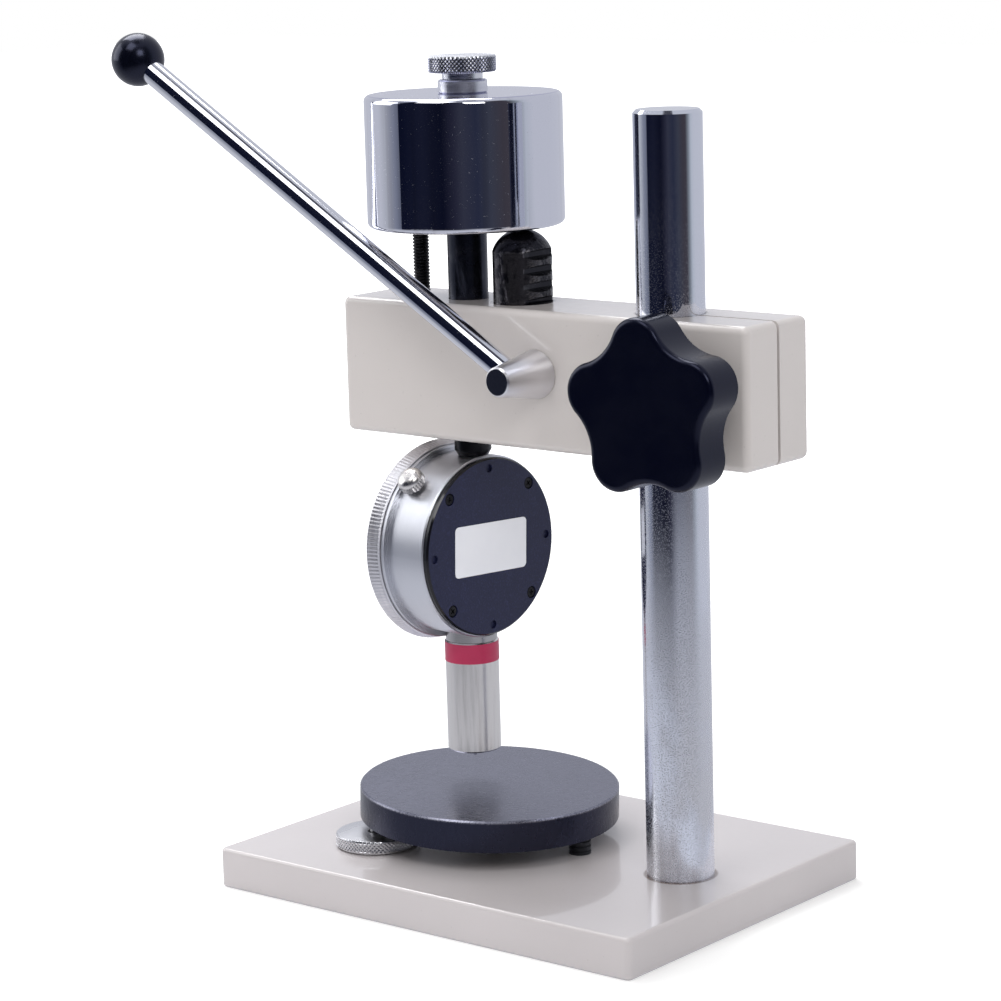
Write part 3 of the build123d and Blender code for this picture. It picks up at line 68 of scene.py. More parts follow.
def centre(node):
    """Middle of a CAD node's box."""
    low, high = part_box(node)
    return (low + high) / 2


def radius_of(node):
    """Half the width of a round node."""
    low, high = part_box(node)
    return (high.x - low.x) / 2


def axes(origin, x, y, z):
    """A matrix whose columns are three directions and an origin."""
    columns = Matrix((x, y, z)).transposed().to_4x4()
    columns.translation = origin
    return columns


gauge_frame = axes(GAUGE, SIDEWAYS, UP, FORWARD)
SPINDLE = centre("spindle")
COLUMN = centre("column")
RACK = centre("rack_rod")
FOOT = centre("foot_barrel")
PLATFORM = centre("platform_plate")
LEVER = Vector(joints["lever_turn"]["pos_m"])
CLAMP = Vector(joints["clamp_turn"]["pos_m"])

# sizes that no box in the frame gives: a turn, a height, the radius where the cover's paint ends,
# how deep its screws sit, and two faces along the gauge's axis, forward from its middle
PLATFORM_TURN = (-math.radians(2.4), 0, 0)
KNOB_DISC_HEIGHT = 4.9 * MM
COVER_PAINT_END = 26.6 * MM
SCREW_SINK = 0.15 * MM
COVER_FACE, DIAL_FACE = -6.5 * MM, 12.2 * MM


# ------------------------------------------------------------------ materials
def srgb(red, green, blue):
    """A colour written in 0 to 255 display values, as linear numbers."""
    shares = [value / 255 for value in (red, green, blue)]
    return tuple(s / 12.92 if s <= 0.04045 else ((s + 0.055) / 1.055) ** 2.4 for s in shares)


surfaces = {}


class Surface:
    """A Principled material, kept by name, with short ways to grow its node tree."""

    def __init__(self, name, colour, metallic=0.0, roughness=0.5, **sockets):
        surfaces[name] = self
        self.material = bpy.data.materials.new(name)
        self.material.use_nodes = True
        self.tree = self.material.node_tree
        self.shader = self.tree.nodes["Principled BSDF"]
        self.colour = (*colour, 1.0)
        self.shader.inputs["Base Color"].default_value = self.colour
        self.shader.inputs["Metallic"].default_value = metallic
        self.shader.inputs["Roughness"].default_value = roughness
        for socket, value in sockets.items():
            self.shader.inputs[socket.replace("_", " ")].default_value = value
        self.place = self.tree.nodes.new("ShaderNodeTexCoord").outputs["Object"]

    def link(self, source, target):
        if isinstance(source, (int, float)):
            target.default_value = source
        else:
            self.tree.links.new(source, target)

    def math(self, operation, *values):
        node = self.tree.nodes.new("ShaderNodeMath")
        node.operation = operation
        for socket, value in zip(node.inputs, values):
            self.link(value, socket)
        return node.outputs[0]

    def plus(self, first, second):
        return self.math("ADD", first, second)

    def times(self, first, second):
        return self.math("MULTIPLY", first, second)

    def shifted(self, origin=(0, 0, 0), scale=(1, 1, 1), turn=(0, 0, 0)):
        """Coordinates about an origin, then scaled: for stretched grain."""
        node = self.tree.nodes.new("ShaderNodeMapping")
        node.vector_type = "TEXTURE"
        node.inputs["Location"].default_value = origin
        node.inputs["Rotation"].default_value = turn
        node.inputs["Scale"].default_value = scale
        self.link(self.place, node.inputs["Vector"])
        return node.outputs[0]

    def split(self, vector):
        node = self.tree.nodes.new("ShaderNodeSeparateXYZ")
        self.link(vector, node.inputs[0])
        return node.outputs

    def noise(self, scale, detail=3.0, vector=None, rough=0.5):
        node = self.tree.nodes.new("ShaderNodeTexNoise")
        node.inputs["Scale"].default_value = scale
        node.inputs["Detail"].default_value = detail
        node.inputs["Roughness"].default_value = rough
        self.link(vector or self.place, node.inputs["Vector"])
        return node.outputs["Fac"]

    def fit(self, value, low, high, to_low=0.0, to_high=1.0):
        """Maps low..high smoothly on to_low..to_high, and holds it there beyond."""
        node = self.tree.nodes.new("ShaderNodeMapRange")
        node.interpolation_type = "SMOOTHSTEP"
        for socket, number in zip(node.inputs[1:5], (low, high, to_low, to_high)):
            socket.default_value = number
        self.link(value, node.inputs[0])
        return node.outputs[0]

    def mix(self, factor, colour):
        """Lays a colour over what the base colour is so far."""
        node = self.tree.nodes.new("ShaderNodeMix")
        node.data_type = "RGBA"
        self.link(factor, node.inputs[0])
        base = self.shader.inputs["Base Color"]
        if base.is_linked:
            self.tree.links.new(base.links[0].from_socket, node.inputs[6])
        else:
            node.inputs[6].default_value = self.colour
        node.inputs[7].default_value = (*colour, 1.0)
        self.tree.links.new(node.outputs[2], base)

    def rough(self, value):
        self.link(value, self.shader.inputs["Roughness"])

    def bump(self, height, distance, strength=1.0):
        """Adds a bump in metres, on top of any that is there."""
        node = self.tree.nodes.new("ShaderNodeBump")
        node.inputs["Strength"].default_value = strength
        node.inputs["Distance"].default_value = distance
        self.link(height, node.inputs["Height"])
        normal = self.shader.inputs["Normal"]
        if normal.is_linked:
            self.tree.links.new(normal.links[0].from_socket, node.inputs["Normal"])
        self.tree.links.new(node.outputs[0], normal)

    def distance(self, origin, axis="Z", turn=(0, 0, 0)):
        """Distance from a line through origin along an axis, which may be turned."""
        x, y, z = self.split(self.shifted(origin, turn=turn))
        pair = {"X": (y, z), "Y": (x, z), "Z": (x, y)}[axis]
        return self.math("SQRT", self.plus(*(self.times(v, v) for v in pair)))

    def height(self, axis="Z"):
        return self.split(self.place)["XYZ".index(axis)]


def painted(name, colour, roughness, shade):
    """Glossy enamel: faint orange peel, a slow change of tone, a few dust specks."""
    s = Surface(name, colour, roughness=roughness, Coat_Weight=0.7, Coat_Roughness=0.04)
    darker = tuple(c * shade for c in colour)
    s.mix(s.fit(s.noise(14, 2), 0.35, 0.65), darker)
    s.mix(s.fit(s.noise(900, 1), 0.74, 0.80, 0, 0.35), tuple(c * 0.72 for c in colour))
    s.rough(s.fit(s.noise(400, 3), 0.3, 0.7, roughness * 0.95, roughness * 1.05))
    s.bump(s.noise(500, 2), 0.005 * MM, 0.2)
    return s


def polished(name, colour, roughness, wear):
    """Chrome plate: a slight haze in patches, and fine dull specks that scatter light."""
    s = Surface(name, colour, metallic=1.0, roughness=roughness)
    haze = s.fit(s.noise(55, 5), 0.35, 0.75, roughness, roughness + 0.12 * wear)
    s.rough(s.plus(haze, s.fit(s.noise(1300, 2), 0.66, 0.74, 0, 0.55 * wear)))
    return s


def turned(name, colour, roughness, origin, axis="Z"):
    """Lathe-turned metal: rings of fine tool marks about an axis."""
    s = Surface(name, colour, metallic=1.0, roughness=roughness)
    stretch = {"X": (1, 60, 60), "Y": (60, 1, 60), "Z": (60, 60, 1)}[axis]
    marks = s.noise(2600, 2, s.shifted(origin, stretch))
    s.rough(s.fit(marks, 0.3, 0.7, roughness * 0.8, roughness * 1.25))
    s.mix(s.fit(s.noise(70, 4), 0.45, 0.7, 0, 0.5), tuple(c * 0.82 for c in colour))
    s.bump(marks, 0.02 * MM, 0.5)
    return s


def blackened(name, colour=(0.022, 0.023, 0.028), roughness=0.38, metallic=0.55):
    """Black oxide on steel: satin, with paler rubbed patches."""
    s = Surface(name, colour, metallic=metallic, roughness=roughness)
    s.mix(s.fit(s.noise(210, 5), 0.52, 0.75, 0, 0.6), tuple(0.05 + c for c in colour))
    s.rough(s.fit(s.noise(160, 4), 0.3, 0.7, roughness * 0.8, roughness * 1.3))
    s.bump(s.noise(1800, 3), 0.02 * MM, 0.5)
    return s


def moulded(name, colour, roughness):
    """Moulded black plastic with a bluish sheen and the faintest grain."""
    s = Surface(name, colour, roughness=roughness)
    s.shader.inputs["Specular Tint"].default_value = (0.58, 0.62, 0.95, 1)
    s.rough(s.fit(s.noise(90, 3), 0.3, 0.7, roughness * 0.85, roughness * 1.2))
    s.bump(s.noise(2500, 2), 0.01 * MM, 0.4)
    return s


def grime(s, node, gap, width, strength, colour):
    """A dark ring on a painted face, where an upright round piece enters it."""
    inner = radius_of(node) + gap
    s.mix(s.fit(s.distance(centre(node)), inner, inner + width, strength, 0), colour)


def base_paint():
    """Warm light grey enamel."""
    s = painted("base_paint", srgb(204, 198, 199), 0.24, 0.96)
    grime(s, "column", 0.5 * MM, 0.9 * MM, 0.75, srgb(92, 66, 50))


def arm_paint():
    """The same enamel, a little paler, and greasy round the rack."""
    s = painted("arm_paint", srgb(207, 201, 199), 0.26, 0.95)
    grime(s, "column", 0.3 * MM, 0.6 * MM, 0.6, srgb(90, 78, 66))
    grime(s, "rack_rod", 0.35 * MM, 0.9 * MM, 0.85, srgb(66, 46, 34))
    grime(s, "spindle", 0.3 * MM, 0.6 * MM, 0.7, srgb(70, 56, 46))


def column_chrome():
    """Chrome that is speckled all over, and hazy and stained low down, where pale bluish patches are painted as
    reflection.
    """
    s = Surface("column_chrome", (0.71, 0.73, 0.80), metallic=1.0, roughness=0.08)
    low_down = s.fit(s.height(), 20 * MM, 130 * MM, 1, 0)
    clouds = s.noise(70, 5, s.shifted(COLUMN, (1, 1, 2.5)))
    s.mix(s.times(low_down, s.fit(clouds, 0.42, 0.62, 0, 0.7)), (0.68, 0.67, 0.68))
    # painted reflection: pale bluish patches that lighten the lower column
    s.mix(s.times(low_down, s.fit(clouds, 0.38, 0.54, 0.9, 0)), (0.86, 0.89, 0.97))
    rubbed = s.noise(1500, 3, s.shifted(COLUMN, (1, 1, 14)))
    s.mix(s.times(low_down, s.fit(rubbed, 0.5, 0.7, 0, 0.3)), (0.60, 0.60, 0.64))
    specks = s.fit(s.noise(2800, 1), 0.46, 0.66, 0, 0.26)
    specks = s.times(specks, s.fit(s.height(), 170 * MM, 235 * MM, 1, 0.3))
    haze = s.plus(s.times(low_down, 0.16), 0.025)
    haze = s.plus(haze, s.fit(clouds, 0.35, 0.7, 0, 0.08))
    s.rough(s.plus(haze, specks))
    s.bump(s.noise(900, 2), 0.003 * MM, 0.3)


def weight_chrome():
    """Chrome with faint upright wipe marks, and painted shade that makes the flat top darker and bluer."""
    s = polished("weight_chrome", (0.70, 0.71, 0.78), 0.035, 0.5)
    wiped = s.noise(300, 4, s.shifted(SPINDLE, (1, 1, 40)))
    s.mix(s.fit(wiped, 0.48, 0.72, 0, 0.5), (0.54, 0.53, 0.57))
    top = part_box("weight")[1].z
    # painted shade: the flat top is darkened and tinted blue
    s.mix(s.fit(s.height(), top - 0.3 * MM, top - 0.1 * MM), (0.46, 0.465, 0.62))


def turned_steels():
    """The plain turned pieces, each with a point on the axis of its tool marks."""
    for name, colour, roughness, *about in (
        ("bolt_steel", (0.30, 0.30, 0.31), 0.40, COLUMN),
        ("stud_steel", (0.28, 0.28, 0.29), 0.42, PLATFORM),
        ("wheel_steel", (0.68, 0.68, 0.70), 0.26, PLATFORM),
        ("collar_steel", (0.78, 0.79, 0.82), 0.36, SPINDLE),
        ("foot_ring_steel", (0.44, 0.43, 0.43), 0.18, FOOT),
        ("stem_steel", (0.40, 0.40, 0.41), 0.30, SPINDLE),
        ("indenter_steel", (0.60, 0.60, 0.61), 0.18, FOOT),
        ("spring_steel", (0.42, 0.41, 0.40), 0.30, FOOT),
        ("arbor_steel", (0.55, 0.55, 0.56), 0.25, GAUGE),
        ("shaft_steel", (0.42, 0.42, 0.43), 0.32, LEVER, "X"),
        ("bush_brass", (0.44, 0.30, 0.12), 0.35, LEVER, "X"),
        ("screw_steel", (0.42, 0.42, 0.43), 0.30, CLAMP, "X"),
        ("washer_steel", (0.50, 0.50, 0.51), 0.28, CLAMP, "X"),
        ("bezel_screw_steel", (0.86, 0.83, 0.80), 0.30, GAUGE, "X"),
        ("bezel_steel", (0.86, 0.85, 0.88), 0.50, GAUGE, "Y"),
        ("movement_brass", (0.62, 0.43, 0.16), 0.28, GAUGE, "Y"),
        ("train_brass", (0.62, 0.43, 0.16), 0.28, GAUGE, "Y"),
    ):
        turned(name, colour, roughness, *about)


def top_knob_steel():
    """Turned steel, with painted shade in the valleys between the points of its knurl."""
    s = turned("top_knob_steel", (0.76, 0.77, 0.81), 0.26, SPINDLE)
    rim, top = radius_of("top_knob"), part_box("top_knob")[1].z
    foot = top - KNOB_DISC_HEIGHT
    # painted shade: dark blue-grey in the knurl's valleys, on the disc's edge
    valley_shade = s.fit(s.distance(SPINDLE), rim - 0.36 * MM, rim - 0.14 * MM, 0.9, 0)
    valley_shade = s.times(valley_shade, s.fit(s.height(), top - 0.6 * MM, top - 0.4 * MM, 1, 0))
    valley_shade = s.times(valley_shade, s.fit(s.height(), foot, foot + 0.4 * MM))
    s.mix(valley_shade, (0.04, 0.045, 0.065))


def hub_steel():
    """Turned steel with a smoother end face, painted darker as a dark reflection."""
    s = turned("hub_steel", (0.80, 0.79, 0.81), 0.32, LEVER, "X")
    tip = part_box("lever_hub")[1].x
    edge = (tip - 0.12 * MM, tip - 0.04 * MM)
    # painted reflection: the end face's colour is darkened for the dark room it mirrors; its lower roughness is
    # real
    s.mix(s.fit(s.height("X"), *edge), (0.42, 0.43, 0.46))
    s.rough(s.fit(s.height("X"), *edge, 0.32, 0.16))


def blackened_steels():
    """The plain blackened pieces."""
    for name, *look in (
        ("pivot_black",),
        ("nut_steel",),
        ("guide_steel", (0.004, 0.004, 0.006), 0.30),
        ("spindle_steel", (0.030, 0.033, 0.048), 0.24, 0.9),
        ("cover_screw_steel", (0.003, 0.003, 0.005), 0.30),
        ("stem_nut_steel", (0.008, 0.008, 0.011), 0.22),
    ):
        blackened(name, *look)


def rack_steel():
    """Blackened and greasy, with rubbed crests and rough teeth."""
    s = blackened("rack_steel", (0.012, 0.012, 0.018), 0.24, 0.8)
    crest = radius_of("rack_rod")
    rub = s.plus(s.distance(RACK), s.fit(s.noise(500, 4), 0.3, 0.7, -0.3 * MM, 0.3 * MM))
    s.mix(s.fit(rub, crest - 0.17 * MM, crest + 0.05 * MM, 0, 0.3), (0.20, 0.19, 0.20))
    toothed = s.fit(s.height("Y"), 5.8 * MM, 7.2 * MM)
    s.rough(s.fit(s.noise(1500, 3), 0.40, 0.65, 0.26, 0.10))
    s.bump(s.times(s.noise(850, 3), toothed), 0.6 * MM, 0.8)


def platform_steel():
    """Blued steel, painted paler on top as its bright low-angle reflection, with a worn rim that also carries a
    painted highlight.
    """
    s = Surface("platform_steel", (0.034, 0.036, 0.058), metallic=1.0, roughness=0.30)
    above_middle = s.split(s.shifted(PLATFORM, turn=PLATFORM_TURN))[2]
    on_top = s.fit(above_middle, 4.0 * MM, 4.7 * MM)
    # painted reflection: the top face gets a paler colour for the sheen it shows at a low angle
    s.mix(on_top, (0.168, 0.171, 0.222))
    grain = s.noise(1400, 3, s.shifted((0, 0, 0), (1, 5, 5), (0, 0, 0.9)))
    smears = s.fit(s.noise(45, 5), 0.40, 0.70, 0, 0.35)
    s.mix(s.times(smears, on_top), (0.16, 0.165, 0.21))
    s.rough(s.fit(grain, 0.25, 0.75, 0.24, 0.34))
    s.bump(grain, 0.005 * MM, 0.3)
    # wear and painted highlight: a pale scuffed line round the top of the rim
    rim = radius_of("platform_plate")
    pale_rim_wear_and_highlight = s.fit(s.distance(PLATFORM), rim - 0.5 * MM, rim - 0.2 * MM)
    pale_rim_wear_and_highlight = s.times(pale_rim_wear_and_highlight, s.fit(above_middle, 3.8 * MM, 4.4 * MM))
    scuffs = s.fit(s.noise(1800, 5), 0.35, 0.70, 0.1, 0.6)
    s.mix(s.times(pale_rim_wear_and_highlight, scuffs), (0.44, 0.44, 0.50))


def case_steel():
    """Satin steel with marks round the case."""
    s = Surface("case_steel", (0.74, 0.75, 0.79), metallic=1.0, roughness=0.38)
    fine = s.noise(2200, 2, s.shifted(GAUGE, (20, 1, 20), GAUGE_TURN))
    s.rough(s.fit(fine, 0.3, 0.7, 0.34, 0.42))
    s.bump(fine, 0.004 * MM, 0.3)


def cover_paint():
    """Fine dark blue crackle paint inside a bare glossy black edge."""
    s = Surface("cover_paint", srgb(20, 25, 62), roughness=0.55)
    crackle = s.noise(1900, 3)
    s.mix(s.fit(crackle, 0.50, 0.72, 0, 0.5), srgb(44, 49, 92))
    from_axis = s.distance(GAUGE, "Y", GAUGE_TURN)
    s.mix(s.fit(from_axis, COVER_PAINT_END, COVER_PAINT_END + 0.12 * MM), (0.004, 0.004, 0.006))
    s.rough(s.fit(from_axis, COVER_PAINT_END, COVER_PAINT_END + 0.12 * MM, 0.55, 0.12))
    inside = s.fit(from_axis, COVER_PAINT_END - 0.05 * MM, COVER_PAINT_END + 0.05 * MM, 1, 0)
    s.bump(s.times(crackle, inside), 0.12 * MM, 0.7)


def dial_side():
    """Crystal, dial, ink and pointer."""
    s = Surface("crystal_glass", (0.985, 0.99, 0.99), roughness=0.02, Transmission_Weight=1.0, IOR=1.49)
    s.rough(s.fit(s.noise(90, 3), 0.4, 0.8, 0.01, 0.04))
    s = Surface("dial_paint", srgb(236, 235, 230), roughness=0.5)
    s.mix(s.fit(s.noise(60, 3), 0.4, 0.7, 0, 0.5), srgb(226, 225, 219))
    s = Surface("dial_ink", (0.01, 0.01, 0.011), roughness=0.6)
    s.rough(s.fit(s.noise(500, 2), 0.3, 0.7, 0.5, 0.7))
    s = Surface("pointer_paint", (0.012, 0.012, 0.013), roughness=0.4)
    s.bump(s.noise(2000, 2), 0.01 * MM, 0.3)


def label_paper():
    """Smooth white paper."""
    s = Surface("label_paper", srgb(246, 247, 253), roughness=0.40, Coat_Weight=0.2)
    s.mix(s.fit(s.noise(50, 3), 0.4, 0.75, 0, 0.6), srgb(240, 241, 248))
    s.bump(s.noise(1500, 2), 0.01 * MM, 0.3)


def foot_steel():
    """Satin nickel with soft upright streaks."""
    s = Surface("foot_steel", (0.75, 0.725, 0.70), metallic=1.0, roughness=0.27)
    streaks = s.noise(900, 3, s.shifted(FOOT, (1, 1, 18)))
    s.rough(s.fit(streaks, 0.3, 0.7, 0.17, 0.27))
    s.mix(s.fit(streaks, 0.5, 0.8, 0, 0.3), (0.54, 0.52, 0.50))
    s.bump(streaks, 0.003 * MM, 0.3)


def band_plastic():
    """Thin raspberry tape."""
    s = Surface("band_plastic", srgb(184, 34, 82), roughness=0.40, Coat_Weight=0.1)
    s.mix(s.fit(s.noise(140, 3), 0.45, 0.75, 0, 0.5), srgb(172, 28, 72))
    s.bump(s.noise(300, 2), 0.03 * MM, 0.3)


polished("rod_chrome", (0.74, 0.75, 0.80), 0.05, 0.3)
moulded("ball_plastic", (0.0014, 0.0018, 0.0050), 0.20)
star = moulded("knob_plastic", (0.0012, 0.0017, 0.0070), 0.22)
star.shader.inputs["Specular IOR Level"].default_value = 0.36
for paint in (
    base_paint, arm_paint, column_chrome, weight_chrome, turned_steels, top_knob_steel, hub_steel,
    blackened_steels, rack_steel, platform_steel, case_steel, cover_paint, dial_side, label_paper,
    foot_steel, band_plastic,
):
    paint()

for node, obj in nodes.items():
    obj.data.materials.clear()
    obj.data.materials.append(surfaces[slot_of[node]].material)


# ------------------------------------------------------------------ mesh building
def triangle_wave(x):
    """0 on whole numbers, 1 half way between them."""
    return 1 - abs(2 * (x % 1.0) - 1)


def finished(name, mesh, surface, body, replaces=(), sharp=0.6):
    """Shades a bmesh smooth with sharp corners, and puts it on its body."""
    mesh.normal_update()
    for face in mesh.faces:
        face.smooth = True
    for edge in mesh.edges:
        edge.smooth = len(edge.link_faces) != 2 or edge.calc_face_angle(0) < sharp
    data = bpy.data.meshes.new(name)
    mesh.to_mesh(data)
    mesh.free()
    data.materials.append(surfaces[surface].material)
    obj = bpy.data.objects.new(name, data)
    bpy.context.scene.collection.objects.link(obj)
    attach(obj, body)
    if replaces:
        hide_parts(*replaces)
    return obj


def flat_points(place, points, height):
    """Points in place's own plane, raised by a height."""
    return [place @ (p + Vector((0, 0, height))) for p in points]


def corners_of(mesh, points):
    return [mesh.verts.new(point) for point in points]


def bridge(mesh, lower, upper):
    """Joins two rings of as many corners by a band of faces."""
    for k in range(len(lower)):
        j = (k + 1) % len(lower)
        mesh.faces.new((lower[k], lower[j], upper[j], upper[k]))


def slab(mesh, place, outline, low, high):
    """A flat plate of that outline, between two heights over place's plane."""
    lower, upper = (corners_of(mesh, flat_points(place, outline, h)) for h in (low, high))
    mesh.faces.new(lower)
    mesh.faces.new(list(reversed(upper)))
    bridge(mesh, lower, upper)


def outward(angle):
    """Unit vector at an angle in the local xy plane."""
    return Vector((math.cos(angle), math.sin(angle), 0))


def lathe(place, profile, segments, relief=None):
    """Turns a profile of (radius, height) points about place's z axis into a closed shape.

    A point's third value is its share of the relief. A radius of 0 closes the shape on the axis."""
    mesh = bmesh.new()
    rings = []
    for radius, height, *share in profile:
        share = share[0] if share else 0
        if radius == 0:
            rings.append([mesh.verts.new(place @ Vector((0, 0, height)))])
            continue
        row = []
        for step in range(segments):
            angle = 2 * math.pi * step / segments
            r = radius - (share * relief(angle, height) if share else 0)
            point = Vector((r * math.cos(angle), r * math.sin(angle), height))
            row.append(mesh.verts.new(place @ point))
        rings.append(row)
    open_ended = len(rings[0]) == 1
    pairs = list(zip(rings, rings[1:] if open_ended else rings[1:] + rings[:1]))
    for lower, upper in pairs:
        for step in range(segments):
            after = (step + 1) % segments
            corners = [
                lower[step % len(lower)], lower[after % len(lower)],
                upper[after % len(upper)], upper[step % len(upper)],
            ]
            unique = list(dict.fromkeys(corners))
            if len(unique) > 2:
                mesh.faces.new(unique)
    bmesh.ops.recalc_face_normals(mesh, faces=mesh.faces)
    return mesh


def band_between(start, end, steps):
    """Profile points from start to end that carry the whole relief."""
    points = []
    for step in range(steps + 1):
        t = step / steps
        points.append((start[0] + (end[0] - start[0]) * t, start[1] + (end[1] - start[1]) * t, 1))
    return points


def diamonds(teeth, row_height, depth):
    """Relief of a diamond knurl with that many teeth round."""
    def relief(angle, height):
        around, along = angle * teeth / (2 * math.pi), height / row_height
        ridge = min(triangle_wave(around + along), triangle_wave(around - along))
        return depth * (1 - ridge)
    return relief


def grooves(teeth, depth):
    """Relief of straight V grooves."""
    return lambda angle, height: depth * (1 - triangle_wave(angle * teeth / (2 * math.pi)))


def threads(pitch, depth):
    """Relief of a right-hand V thread that is flat for a third of its pitch."""
    def relief(angle, height):
        return depth * max(0.0, 1 - 1.5 * triangle_wave(height / pitch - angle / (2 * math.pi)))
    return relief


def upright(x, y, z=0.0):
    return Matrix.Translation((x, y, z))


# ------------------------------------------------------------------ pieces, one function each
TOOTH_SEGMENTS = 6  # steps round each tooth of a knurl, serration or notch


def levelling_wheel(side):
    """A knurled disc with a thin bevel on both faces."""
    low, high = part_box(f"levelling_wheel_{side}")
    middle = (low + high) / 2
    radius, thick = (high.x - low.x) / 2, high.z - low.z
    bore, edge, bevel_out, bevel_up = 3.0 * MM, 0.45 * MM, 0.2 * MM, 0.05 * MM
    teeth, row_height, depth = 64, 1.25 * MM, 0.32 * MM
    profile = [(bore, 0), (radius - edge - bevel_out, 0), (radius - edge, bevel_up)]
    profile += band_between((radius, edge), (radius, thick - edge), 16)
    profile += [(radius - edge, thick - bevel_up), (radius - edge - bevel_out, thick), (bore, thick)]
    place = upright(middle.x, middle.y, low.z)
    mesh = lathe(place, profile, teeth * TOOTH_SEGMENTS, diamonds(teeth, row_height, depth))
    finished(
        f"wheel_{side}_knurled", mesh, "wheel_steel", f"wheel_{side}", [f"levelling_wheel_{side}"],
    )


def top_knob():
    """A knurled disc on a plain neck and its screw."""
    low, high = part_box("top_knob")
    disc_radius, neck_radius, screw_radius = radius_of("top_knob"), 6.1 * MM, 2.5 * MM
    neck_height, edge, bevel = 2.1 * MM, 0.45 * MM, 0.3 * MM
    teeth, rows, depth = 52, 3, 0.42 * MM
    top, disc_foot = high.z, high.z - KNOB_DISC_HEIGHT
    neck_foot = disc_foot - neck_height
    profile = [(0, low.z), (screw_radius, low.z), (screw_radius, neck_foot)]
    profile += [(neck_radius - bevel, neck_foot), (neck_radius, neck_foot + bevel)]
    profile += [(neck_radius, disc_foot), (disc_radius - edge, disc_foot)]
    profile += band_between((disc_radius, disc_foot + edge), (disc_radius, top - edge), 18)
    profile += [(disc_radius - edge, top), (0, top)]
    knurl = diamonds(teeth, (KNOB_DISC_HEIGHT - 2 * edge) / rows, depth)
    mesh = lathe(upright(SPINDLE.x, SPINDLE.y), profile, teeth * TOOTH_SEGMENTS, knurl)
    finished("top_knob_knurled", mesh, "top_knob_steel", "top_knob", ["top_knob"])


def bezel():
    """A plain rear ring, then a flared edge serrated all round."""
    seat, window = 27.5 * MM, 26.5 * MM
    rear, flare, front, glass_front = 11.3 * MM, 12.2 * MM, 16.4 * MM, 15.6 * MM
    rear_radius, front_radius = 29.8 * MM, 30.9 * MM
    teeth, depth = 164, 0.14 * MM
    profile = [(seat, rear), (rear_radius, rear), (rear_radius, flare - 0.05 * MM)]
    profile += band_between((rear_radius + 0.05 * MM, flare), (front_radius, front - 0.8 * MM), 6)
    profile += [(front_radius - 0.35 * MM, front - 0.3 * MM), (front_radius - 0.9 * MM, front)]
    profile += [(front_radius - 2.4 * MM, front), (window, glass_front), (seat, glass_front)]
    mesh = lathe(gauge_frame, profile, teeth * TOOTH_SEGMENTS, grooves(teeth, depth))
    finished("bezel_serrated", mesh, "bezel_steel", "bezel", ["bezel"])


def bezel_screw():
    """A notched side under a plain dome."""
    joint = joints["bezel_screw_turn"]
    out = Vector(joint["axis"]).normalized()
    place = axes(Vector(joint["pos_m"]), FORWARD, out.cross(FORWARD), out)
    shank_foot, shank_radius = 25.8 * MM, 1.5 * MM
    head_foot, head_radius, bevel, side, dome = 28.7 * MM, 4.1 * MM, 0.3 * MM, 2.1 * MM, 2.5 * MM
    notches, depth, dome_steps, flatness = 26, 0.4 * MM, 10, 0.6
    profile = [(0, shank_foot), (shank_radius, shank_foot), (shank_radius, head_foot)]
    profile += [(head_radius - bevel, head_foot)]
    profile += band_between((head_radius, head_foot + bevel), (head_radius, head_foot + side), 4)
    for step in range(1, dome_steps):
        lean = math.pi / 2 * step / dome_steps
        profile.append((head_radius * math.cos(lean) ** flatness, head_foot + side + dome * math.sin(lean)))
    profile.append((0, head_foot + side + dome))
    mesh = lathe(place, profile, notches * TOOTH_SEGMENTS, grooves(notches, depth))
    finished("bezel_screw_domed", mesh, "bezel_screw_steel", "bezel_screw", ["bezel_screw"])


def guide_screw():
    """A threaded rod with bevelled ends."""
    low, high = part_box("guide_rod")
    radius, pitch, depth, bevel = radius_of("guide_rod"), 1.0 * MM, 0.42 * MM, 0.6 * MM
    rows_per_pitch, segments = 8, 32
    middle = (low + high) / 2
    rows = int((high.z - low.z - 2 * bevel) / pitch * rows_per_pitch)
    profile = [(0, low.z), (radius - bevel, low.z)]
    profile += band_between((radius, low.z + bevel), (radius, high.z - bevel), rows)
    profile += [(radius - bevel, high.z), (0, high.z)]
    mesh = lathe(upright(middle.x, middle.y), profile, segments, threads(pitch, depth))
    finished("guide_screw_thread", mesh, "guide_steel", "head", ["guide_rod"], sharp=1.2)


